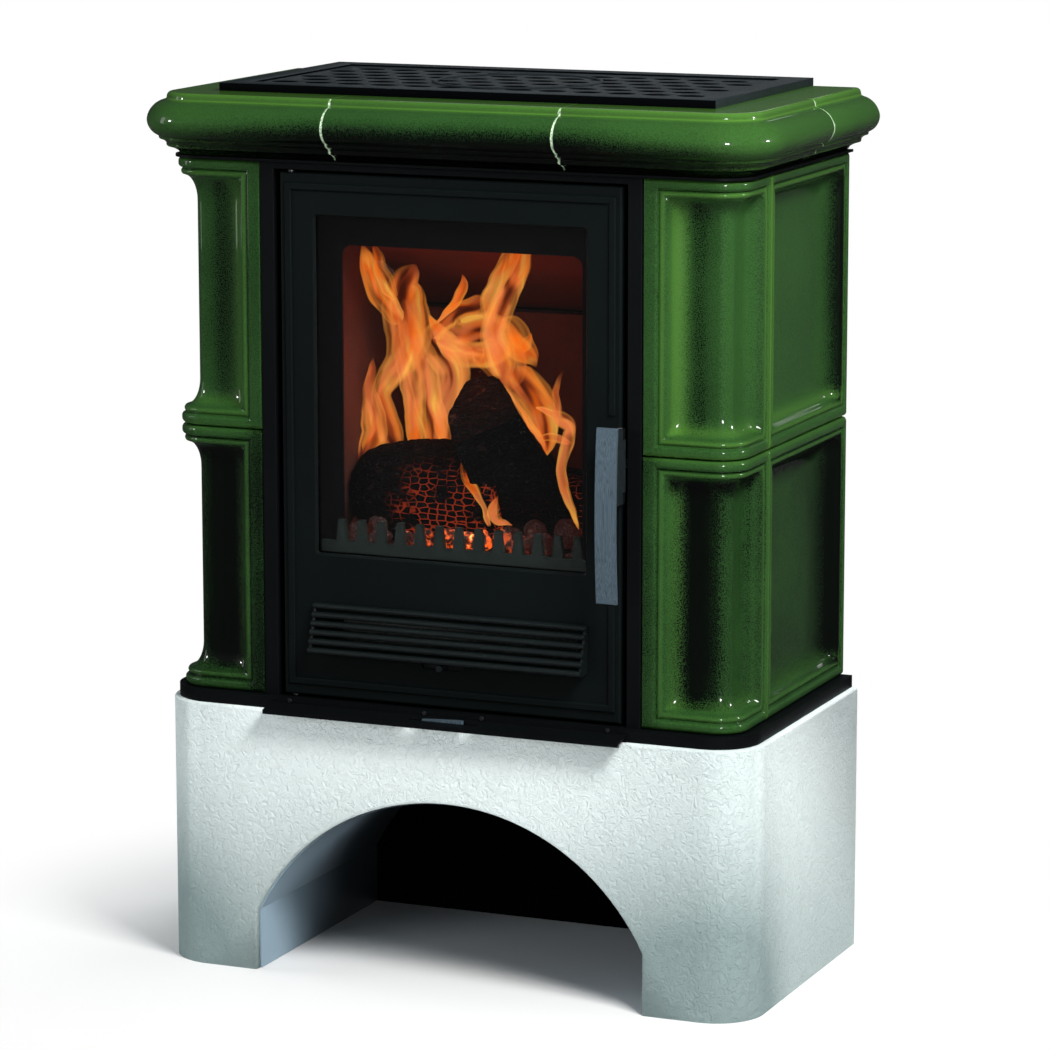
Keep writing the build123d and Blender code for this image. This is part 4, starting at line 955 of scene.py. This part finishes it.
def makeCornice():
    frontLow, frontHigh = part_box("cornice_front")
    cornerLow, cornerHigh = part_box("cornice_corner_right")
    sideLow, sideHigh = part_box("cornice_side_right")
    bottom = frontLow.z
    xTile = cornerHigh.x / mm - corniceLook["reach"]
    yTile = cornerLow.y / mm + corniceLook["reach"]
    frontEnds = (frontLow.x / mm, frontHigh.x / mm)
    sideEnds = (sideLow.y / mm, sideHigh.y / mm)
    radius = corniceLook["cornerRadius"]
    xBend, yBend = xTile - radius, yTile + radius
    xStart, yEnd = cornerLow.x / mm, cornerHigh.y / mm
    quarter = radius * math.pi / 2
    flat = xBend - xStart
    total = flat + quarter + yEnd - yBend

    def bend(station, reach):
        # a place on the corner's line, which runs along the front and then along the side
        deep = reach < -radius
        if station <= flat:
            return min(xStart + station, xTile + reach if deep else xBend), yTile - reach
        if station >= flat + quarter:
            return xTile + reach, max(yBend + station - flat - quarter, yTile - reach if deep else yBend)
        if deep:
            return xTile + reach, yTile - reach
        angle = (station - flat) / radius
        return xBend + (radius + reach) * math.sin(angle), yBend - (radius + reach) * math.cos(angle)

    def wrapCorner(station, reach):
        return bend(station, reach - endDraw(station, reach, 0, total))

    def wrapFront(station, reach):
        return station, yTile - reach + endDraw(station, reach, *frontEnds)

    def wrapSide(station, reach):
        return xTile + reach - endDraw(station, reach, *sideEnds), station

    def cornerShade(station):
        share = rise(station, flat - 70, flat + quarter)
        return {key: frontShade[key] * (1 - share) + sideShade[key] * share for key in frontShade}

    steps = corniceLook["bendSteps"]
    stations = sorted(endStations(0, total) + [flat + quarter * i / steps for i in range(steps + 1)])
    corner = buildCornice("corniceCornerRight", stations, wrapCorner, bottom, cornerShade)
    front = buildCornice("corniceFront", endStations(*frontEnds), wrapFront, bottom,
                         lambda station: frontShade)
    side = buildCornice("corniceSideRight", endStations(*sideEnds), wrapSide, bottom,
                        lambda station: sideShade)
    settle(front, "root", "tile_glaze", glaze, "cornice_front")
    for piece, kind in ((corner, "Corner"), (side, "Side")):
        node = "cornice_" + kind.lower() + "_"
        twin = mirrored(piece, "cornice" + kind + "Left")
        settle(piece, "root", "tile_glaze", glaze, node + "right")
        settle(twin, "root", "tile_glaze", glaze, node + "left")

    # the filling shows between the rounded tile ends as a thin crooked line, pale also as a painted highlight
    half, out = corniceLook["groutWidth"] / 2, corniceLook["groutOut"]
    for label, middle in (("Front", -out), ("Side", total + out)):
        stations = [middle - half, middle, middle + half]
        slab = buildCornice("joint" + label + "Right", stations, bend, bottom, lambda station: frontShade,
                            shrink=corniceLook["groutSunk"], inner=corniceLook["groutInner"])
        for vertex in slab.data.vertices:
            wobble = 0.7 * noise.noise(vertex.co * 160) + 0.5 * noise.noise(vertex.co * 420)
            vertex.co.x += wobble * mm * (label == "Front")
            vertex.co.y += wobble * mm * (label == "Side")
        twin = mirrored(slab, "joint" + label + "Left")
        smooth(slab)
        for piece in (slab, twin):
            settle(piece, "root", "tile_glaze", groutAndHighlight)


makeCornice()
print("cornice made")


# Plinth and flue spigot: the CAD's own shapes with smooth shading

settle(copyOfNode("plinth", "plasterPlinth"), "root", "plaster", plaster, "plinth")
settle(copyOfNode("flue_spigot", "flueSpigot"), "root", "black_steel", blackSteel, "flue_spigot")
print("plinth and flue spigot made")


# Cast top grille

grilleLook = {
    "rim": 29.0,           # all sizes in mm
    "drop": 2.0,           # the lattice below the rim
    "pitchX": 41.0,
    "pitchY": 38.0,
    "rows": 6,
    "lensLength": 35.0,
    "lensWidth": 21.0,
    "lensSides": 9,
    "edge": 1.1,
    "ringRadius": 98.0,
    "ringWidth": 7.0,
    "ringSunk": 3.5,       # the ring's middle below the rim's top
}


def lensPoints():
    # the outline of one hole, pointed at both ends
    half, crown = grilleLook["lensLength"] / 2, grilleLook["lensWidth"] / 2
    upper = arcPoints((-half, 0), (0, crown), (half, 0), grilleLook["lensSides"])
    lower = arcPoints((half, 0), (0, -crown), (-half, 0), grilleLook["lensSides"])
    return upper + lower


def makeGrille():
    look = grilleLook
    low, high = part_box("top_grille")
    middle = (low + high) / 2
    bpy.ops.mesh.primitive_cube_add(size=1, location=middle)
    plate = newest("castGrille")
    plate.scale = high - low
    applyPlace(plate)
    # the top face is set in and sunk, which leaves the rim
    bpy.ops.object.mode_set(mode="EDIT")
    bpy.ops.mesh.select_all(action="DESELECT")
    bpy.ops.mesh.select_mode(type="FACE")
    bpy.ops.object.mode_set(mode="OBJECT")
    for polygon in plate.data.polygons:
        polygon.select = polygon.normal.z > 0.5
    bpy.ops.object.mode_set(mode="EDIT")
    bpy.ops.mesh.inset(thickness=look["rim"] * mm, depth=0)
    bpy.ops.mesh.extrude_region_move(TRANSFORM_OT_translate={"value": (0, 0, -look["drop"] * mm)})
    bpy.ops.object.mode_set(mode="OBJECT")

    # one cutter holds every lens hole, as an upright prism each
    points = lensPoints()
    columns = int(((high.x - low.x) / 2 / mm - look["rim"] - look["lensLength"] / 2 - 2) / look["pitchX"])
    vertices, faces = [], []
    for row in range(look["rows"]):
        odd = row % 2
        for column in range(2 * columns + (0 if odd else 1)):
            x = (column - columns + 0.5 * odd) * look["pitchX"]
            y = (row - (look["rows"] - 1) / 2) * look["pitchY"]
            base = len(vertices)
            for z in (low.z - 10 * mm, high.z + 10 * mm):
                vertices += [((x + px) * mm, middle.y + (y + py) * mm, z) for px, py in points]
            count = len(points)
            faces.append(list(range(base, base + count)))
            faces.append(list(range(base + 2 * count - 1, base + count - 1, -1)))
            faces += [[base + i, base + count + i, base + count + (i + 1) % count, base + (i + 1) % count]
                      for i in range(count)]
    mesh = bpy.data.meshes.new("lensCutter")
    mesh.from_pydata(vertices, [], faces)
    cutter = bpy.data.objects.new("lensCutter", mesh)
    bpy.context.scene.collection.objects.link(cutter)
    cleanUp(cutter)
    modify(plate, "BOOLEAN", operation="DIFFERENCE", object=cutter, solver="EXACT")
    bpy.data.objects.remove(cutter)

    # the cast ring stands a little above the lattice
    thick = look["ringWidth"] / 2
    bpy.ops.mesh.primitive_torus_add(
        major_segments=96, minor_segments=12, location=(middle.x, middle.y, high.z - look["ringSunk"] * mm),
        major_radius=(look["ringRadius"] - thick) * mm, minor_radius=thick * mm)
    ring = newest("castGrilleRing")
    applyPlace(ring)
    modify(plate, "BOOLEAN", operation="UNION", object=ring, solver="EXACT")
    bpy.data.objects.remove(ring)
    modify(plate, "BEVEL", width=look["edge"] * mm, segments=2, limit_method="ANGLE",
           angle_limit=math.radians(50), miter_outer="MITER_ARC")
    smooth(plate, 40)
    settle(plate, "top_grille", "cast_iron", castBlack, "top_grille")
    # painted shade: the upright walls of the holes and of the sunk lattice, and the front face, take the
    # darker black
    plate.data.materials.append(innerBlack)
    for polygon in plate.data.polygons:
        spot = polygon.center
        inner = min(spot.x - low.x, high.x - spot.x, high.y - spot.y) > 10 * mm
        if inner and abs(polygon.normal.z) < 0.3:
            polygon.material_index = 1


makeGrille()
print("grille made")


# The fire, for the look only: logs, embers and flames stand for no solid piece

logLook = {
    # each log: its ends in mm, and its radius at shares of its length
    "lying": {
        "from": (-168, -48, 541), "to": (16, -36, 548), "side": (0, 1, 0), "heat": 1.0,
        "radii": [(0.0, 30), (0.06, 44), (0.16, 54), (0.35, 60), (0.7, 61), (1.0, 58)],
    },
    # a split log: its radii are factors of the outline of its face
    "leaning": {
        "from": (2, -88, 650), "to": (28, 14, 512), "side": (1, 0, 0), "heat": 0.06, "front": 0.6,
        "radii": [(0.0, 1.0), (0.35, 1.12), (1.0, 1.5)],
        "face": [(-38, 50), (-1, 58), (51, -8), (44, -18), (-15, -54), (-41, -9)],
    },
    "rear": {
        "from": (-120, 34, 560), "to": (128, 20, 520), "side": (0, 1, 0), "heat": 0.3,
        "radii": [(0.0, 34), (0.1, 42), (1.0, 40)],
    },
    "sharp": 30,           # sharpness of a split log's edges
    "rough": 2.4,
    "ridge": 1.2,
    "around": 88,
    "steps": 60,
    "closing": ([0.0, 0.4, 0.8, 0.985], [0.9, 0.5, 0.0]),  # rings that close the two ends
}


def radiusAt(radii, share):
    for (a, low), (b, high) in zip(radii, radii[1:]):
        if share <= b:
            return low + (high - low) * (share - a) / (b - a)
    return radii[-1][1]


def faceReach(face, angle):
    # distance from the middle to the outline of a split log, with slightly soft corners
    sharp = logLook["sharp"]
    total = 0.0
    for (ax, ay), (bx, by) in zip(face, face[1:] + face[:1]):
        nx, ny = by - ay, ax - bx
        size = math.hypot(nx, ny)
        offset = (ax * nx + ay * ny) / size
        if offset < 0:
            nx, ny, offset = -nx, -ny, -offset
        lean = (math.cos(angle) * nx + math.sin(angle) * ny) / size
        if lean > 0:
            total += (lean / offset) ** sharp
    return total ** (-1 / sharp)


def makeLog(name, kind):
    look = logLook[kind]
    start, end = Vector(look["from"]), Vector(look["to"])
    axis = (end - start).normalized()
    side = Vector(look["side"])
    side = (side - axis * axis.dot(side)).normalized()
    upward = side.cross(axis)
    if upward.z < 0:
        upward.negate()
    around, steps = logLook["around"], logLook["steps"]
    first, last = logLook["closing"]
    shares = [0] * len(first) + [i / steps for i in range(steps + 1)] + [1] * len(last)
    rims = first + [1.0] * (steps + 1) + last
    heats = []

    def spot(column, row):
        share, rim = shares[column], rims[column]
        angle = 2 * math.pi * (row % around) / around
        reach = radiusAt(look["radii"], share)
        if "face" in look:
            reach *= faceReach(look["face"], angle)
        out = side * math.cos(angle) + upward * math.sin(angle)
        point = start + (end - start) * share + out * reach * rim
        rough = noise.noise(point / 26) * logLook["rough"] + noise.noise(point / 7) * logLook["ridge"]
        point += out * rough * rim + axis * rough * 0.5 * (1 - rim)
        front = rise(look.get("front", -out.y), -0.2, 0.8)
        heats.append(look["heat"] * front * (1 - rise(point.z, 535, 608)) * rise(point.x, -125, -40))
        return point * mm

    log = wrappedGrid(name, len(shares) - 1, around, spot)
    paint(log, "glowHeat", heats)
    cleanUp(log)
    smooth(log, 60)
    settle(log, "root", "firebrick", charred)


emberLook = {
    "count": 150,
    "seed": 7,
    "low": (-160, -124, 494),  # corners of the bed, in mm
    "high": (160, 40, 512),
    "size": (6, 15),
    "rough": 3.5,
}


def makeEmbers():
    look = emberLook
    dice = random.Random(look["seed"])
    noise.seed_set(look["seed"])  # or noise_vector would differ at every run
    lumps = []
    for _ in range(look["count"]):
        spot = Vector([dice.uniform(a, b) for a, b in zip(look["low"], look["high"])])
        turn = [dice.uniform(0, 6) for _ in range(3)]
        bpy.ops.mesh.primitive_ico_sphere_add(subdivisions=2, radius=1, location=spot * mm, rotation=turn)
        lump = newest("emberLump")
        size = dice.uniform(*look["size"])
        lump.scale = [size * mm * dice.uniform(0.7, 1.2) for _ in range(3)]
        applyPlace(lump)
        for vertex in lump.data.vertices:
            vertex.co += Vector(noise.noise_vector(vertex.co * 70)) * look["rough"] * mm
        # hottest at the front, a little left of the middle
        warmth = 0.10 + 0.90 * bell(spot.x, -10, 55) * rise(-spot.y, 40, 100)
        paint(lump, "glowHeat", [warmth * dice.uniform(0.75, 1.0)] * len(lump.data.vertices))
        lumps.append(lump)
    bed = joined(lumps, "emberBed")
    smooth(bed)
    settle(bed, "root", "firebrick", ember)


flameLook = {
    "around": 14,
    "steps": 7,            # rings from one given point to the next
    "widen": 1.80,
    "thickness": 0.60,     # of half the width, front to back
    "lineWidth": 15.0,     # of the bright lines, in mm
    "streak": 0.055,       # how fast the lines change along a tongue
    "waver": 2.2,
    # each tongue: how far back it stands, then x, z and width up its middle, in mm
    "tongues": [
        (-37.5, [(-179, 552, 5), (-165, 579, 12), (-154, 604, 18), (-154, 629, 17), (-159, 654, 10),
                 (-155, 679, 6), (-153, 697, 1)]),
        (-39.5, [(-158, 582, 3), (-157, 567, 6), (-155, 547, 4), (-152, 535, 1)]),
        (-22.5, [(-133, 585, 22), (-144, 622, 16), (-150, 652, 14), (-140, 672, 18), (-124, 693, 24),
                 (-116, 723, 33), (-121, 757, 31), (-120, 782, 22), (-110, 795, 11), (-105, 803, 1)]),
        (-17.5, [(-109, 585, 17), (-110, 631, 15), (-112, 659, 18), (-117, 688, 20), (-121, 712, 22),
                 (-123, 737, 10)]),
        (-27.5, [(-78, 585, 12), (-82, 622, 19), (-91, 651, 20), (-95, 683, 23), (-104, 710, 21),
                 (-116, 743, 14), (-120, 765, 2)]),
        (-75.5, [(-102, 741, 12), (-113, 755, 14), (-126, 773, 17), (-136, 792, 15), (-143, 811, 11),
                 (-150, 830, 3)]),
        (-79.5, [(-106, 770, 10), (-119, 791, 11), (-127, 813, 8), (-132, 834, 3)]),
        (-29.5, [(-62, 587, 12), (-70, 631, 15), (-62, 658, 20), (-58, 683, 24), (-71, 707, 26),
                 (-83, 721, 16), (-67, 737, 10), (-46, 754, 11), (-25, 762, 12), (-12, 768, 1)]),
        (-19.5, [(-93, 746, 3), (-74, 720, 12), (-56, 704, 18), (-29, 702, 18), (-5, 712, 20),
                 (-7, 734, 15), (-16, 750, 5)]),
        (-7.5, [(-88, 723, 14), (-61, 714, 29), (-34, 721, 36), (-11, 707, 36), (0, 679, 26),
                (0, 659, 12)]),
        (-83.5, [(30, 686, 19), (22, 717, 22), (18, 746, 19), (29, 773, 17), (38, 792, 16), (45, 814, 18),
                 (47, 841, 14), (45, 855, 5)]),
        (-77.5, [(12, 747, 10), (8, 773, 12), (22, 801, 12), (35, 825, 12), (40, 847, 5)]),
        (-22.5, [(-2, 742, 7), (9, 735, 20), (19, 719, 22), (33, 705, 15), (43, 691, 1)]),
        (-17.5, [(49, 586, 6), (49, 610, 18), (45, 639, 26), (32, 662, 28), (17, 679, 22), (8, 690, 5)]),
        (-37.5, [(5, 673, 7), (18, 647, 14), (34, 626, 14), (48, 608, 12), (59, 591, 2)]),
        (-47.5, [(105, 510, 1), (96, 537, 5), (85, 565, 7), (83, 590, 7), (91, 612, 9), (93, 629, 8),
                 (80, 640, 7), (77, 660, 6), (78, 679, 4), (87, 697, 1)]),
        (-15.5, [(23, 708, 5), (28, 718, 8), (34, 731, 1)]),
        (-37.5, [(44, 611, 1), (60, 616, 5), (78, 613, 6), (94, 611, 2)]),
        (-32.5, [(45, 648, 2), (60, 644, 5), (74, 640, 7), (89, 634, 6), (91, 615, 3)]),
        (-37.5, [(-74, 737, 2), (-53, 760, 6), (-41, 780, 7), (-43, 797, 1)]),
        (-95.5, [(16, 519, 5), (8, 543, 4), (-7, 567, 8), (-14, 583, 6), (-17, 600, 1)]),
        (-99.5, [(46, 524, 1), (29, 528, 6), (22, 540, 8), (29, 558, 1)]),
        (-107.5, [(46, 499, 5), (39, 513, 7), (34, 522, 1)]),
    ],
}


def smoothLine(points, steps):
    # a soft curve through the given points
    line = []
    padded = [points[0], *points, points[-1]]
    for a, b, c, d in zip(padded, padded[1:], padded[2:], padded[3:]):
        for i in range(steps):
            t = i / steps
            line.append([0.5 * (2 * q + (r - p) * t + (2 * p - 5 * q + 4 * r - u) * t**2
                         + (3 * q - p - 3 * r + u) * t**3) for p, q, r, u in zip(a, b, c, d)])
    return line + [list(points[-1])]


def makeFlames():
    look = flameLook
    around = look["around"]
    tongues = []
    for number, (back, points) in enumerate(look["tongues"]):
        line = smoothLine(points, look["steps"])
        count = len(line) - 1
        across, along, flow = [], [], []

        def spot(column, row):
            x, z, width = line[column]
            nextX, nextZ, _ = line[min(column + 1, count)]
            lastX, lastZ, _ = line[max(column - 1, 0)]
            run = Vector((nextX - lastX, 0, nextZ - lastZ)).normalized()
            angle = 2 * math.pi * (row % around) / around
            # both ends close to a point
            taper = min(1.0, math.sqrt(column / 4)) * min(1.0, math.sqrt((count - column) / 5))
            reach = max(width, 0.6) * look["widen"] / 2 * taper
            waver = noise.noise(Vector((x, z, number * 40)) / 15) * look["waver"] * taper
            sideways, deep = reach * math.cos(angle), reach * math.sin(angle)
            across.append(abs(math.cos(angle)))
            along.append(column / count)
            # each tongue has lines of its own, at the front and at the back
            pattern = number * 3.7 + 2 * (math.sin(angle) > 0)
            flow.append((sideways / look["lineWidth"], column * look["streak"], pattern))
            sideways += waver
            return Vector((x + run.z * sideways, back + deep * look["thickness"], z - run.x * sideways)) * mm

        tongue = wrappedGrid("flameTongue", count, around, spot)
        paint(tongue, "flameAcross", across)
        paint(tongue, "flameAlong", along)
        layer = tongue.data.attributes.new("flameFlow", "FLOAT_VECTOR", "POINT")
        for item, value in zip(layer.data, flow):
            item.vector = value
        cleanUp(tongue)
        tongues.append(tongue)
    flames = joined(tongues, "flames")
    smooth(flames, 80)
    settle(flames, "root", "firebrick", flame)


for kind in ("lying", "leaning", "rear"):
    makeLog("log" + kind.title(), kind)
makeEmbers()
makeFlames()
print("fire made")


# Stage: camera, floor, lights

cameraLook = {
    "place": (1.97745, -4.62323, 1.43765),
    "yaw": 22.96,
    "pitch": -10.52,
    "roll": 0.04,
    "lens": 153.08,
}


def makeCamera():
    # stands where the photo was taken from, as far as its lines tell
    look = cameraLook
    bpy.ops.object.camera_add(location=look["place"])
    camera = bpy.context.active_object
    turns = (90 + look["pitch"], look["roll"], look["yaw"])
    camera.rotation_euler = [math.radians(turn) for turn in turns]
    camera.data.sensor_width = 36.0
    camera.data.lens = look["lens"]
    camera.data.clip_end = 100.0
    bpy.context.scene.camera = camera


floorLook = {
    "size": 90.0,
    "color": (0.80, 0.80, 0.80, 1),
    "nearWhite": 0.30,     # from here to there the floor goes over into plain white, in m
    "farWhite": 0.78,
    "inGloss": 0.045,
}


def makeFloor():
    look = floorLook
    bpy.ops.mesh.primitive_plane_add(size=look["size"], location=(0, 0, 0))
    floor = newest("studioFloor")
    material, tree, shader = newMaterial("paleFloor", {
        "Base Color": look["color"], "Roughness": 0.9, "Specular IOR Level": 0.1})
    distance = add(tree, "ShaderNodeVectorMath", {0: objectPlace(tree)}, operation="LENGTH").outputs["Value"]
    far = ramp(tree, distance, look["nearWhite"], look["farWhite"])
    path = add(tree, "ShaderNodeLightPath").outputs
    seen = maths(tree, "MAXIMUM", path["Is Camera Ray"], path["Is Transmission Ray"])
    white = add(tree, "ShaderNodeEmission", {"Color": (1, 1, 1, 1), "Strength": 1.0}).outputs[0]
    dim = add(tree, "ShaderNodeEmission", {"Color": (1, 1, 1, 1), "Strength": look["inGloss"]}).outputs[0]
    direct = add(tree, "ShaderNodeMixShader", {0: times(tree, far, seen), 1: shader.outputs[0], 2: white})
    whole = add(tree, "ShaderNodeMixShader", {0: path["Is Glossy Ray"], 1: direct.outputs[0], 2: dim})
    feed(tree, tree.nodes["Material Output"], {"Surface": whole.outputs[0]})
    floor.data.materials.append(material)


# each lamp: name, place, aim, size, power, color
lampLook = [
    # the broad soft ones light the surfaces
    ("keyRight", (1.58, -1.15, 2.28), (0.05, 0, 0.55), (0.9, 0.9), 104.0, (1.0, 0.995, 0.98)),
    ("fillFront", (-1.3, -3.2, 1.5), (0, 0, 0.6), (1.6, 1.2), 20.0, (0.90, 0.97, 1.0)),
    ("fillLeft", (-2.4, -0.3, 1.5), (0, 0, 0.6), (1.2, 1.2), 24.0, (0.96, 0.98, 1.0)),
    ("rearTop", (0.5, 1.9, 2.2), (0, 0, 0.8), (1.2, 0.8), 34.0, (0.95, 0.98, 1.0)),
]
glintLook = [
    # the small ones only show as highlights
    ("glintFront", (1.5, -2.6, 1.3), (0, 0, 0.7), (0.32, 0.32), 27.0, (1.0, 1.0, 1.0)),
    ("glintSide", (2.56, 0.45, 1.5), (0, 0, 0.7), (0.22, 0.22), 14.0, (1.0, 1.0, 1.0)),
    ("glintLeft", (-2.5, -1.9, 1.5), (0, 0, 0.7), (0.24, 0.24), 14.0, (1.0, 1.0, 1.0)),
    ("glintTall", (-2.6, -1.0, 1.2), (0, 0, 0.7), (0.40, 1.4), 3.0, (1.0, 1.0, 1.0)),
    ("glintRear", (-0.9, 2.8, 1.95), (0, 0, 1.0), (1.2, 0.3), 1.1, (0.92, 0.97, 1.0)),
]
fireLight = {"place": (-0.02, -0.06, 0.68), "radius": 0.05, "power": 1.9, "color": (1.0, 0.14, 0.025)}
worldLook = {"color": (0.12, 0.125, 0.13, 1), "inGloss": (0.028, 0.030, 0.032, 1)}


def addLamp(name, spot, target, size, power, color, **rays):
    bpy.ops.object.light_add(type="AREA", location=spot)
    lamp = bpy.context.active_object
    lamp.name = name
    lamp.data.shape = "RECTANGLE"
    lamp.data.size, lamp.data.size_y = size
    lamp.data.energy = power
    lamp.data.color = color
    lamp.rotation_euler = (Vector(target) - Vector(spot)).to_track_quat("-Z", "Y").to_euler()
    lamp.visible_camera = False
    for key, value in rays.items():
        setattr(lamp, key, value)


def makeLights():
    for lamp in lampLook:
        addLamp(*lamp, visible_glossy=False)
    for lamp in glintLook:
        addLamp(*lamp, visible_diffuse=False, visible_transmission=False)
    bpy.ops.object.light_add(type="POINT", location=fireLight["place"])
    glow = bpy.context.active_object
    glow.name = "fireGlow"
    glow.data.shadow_soft_size = fireLight["radius"]
    glow.data.energy = fireLight["power"]
    glow.data.color = fireLight["color"]
    glow.visible_glossy = False
    glow.visible_camera = False
    glow.visible_transmission = False
    world = bpy.data.worlds.new("studioWorld")
    bpy.context.scene.world = world
    world.use_nodes = True
    tree = world.node_tree
    path = add(tree, "ShaderNodeLightPath").outputs
    tone = mixColor(tree, path["Is Glossy Ray"], worldLook["color"], worldLook["inGloss"])
    seen = maths(tree, "MAXIMUM", path["Is Camera Ray"], path["Is Transmission Ray"])
    feed(tree, tree.nodes["Background"], {"Color": mixColor(tree, seen, tone, (1, 1, 1, 1))})
    bpy.context.scene.view_settings.view_transform = "Standard"


makeCamera()
makeFloor()
makeLights()
print("stage made")
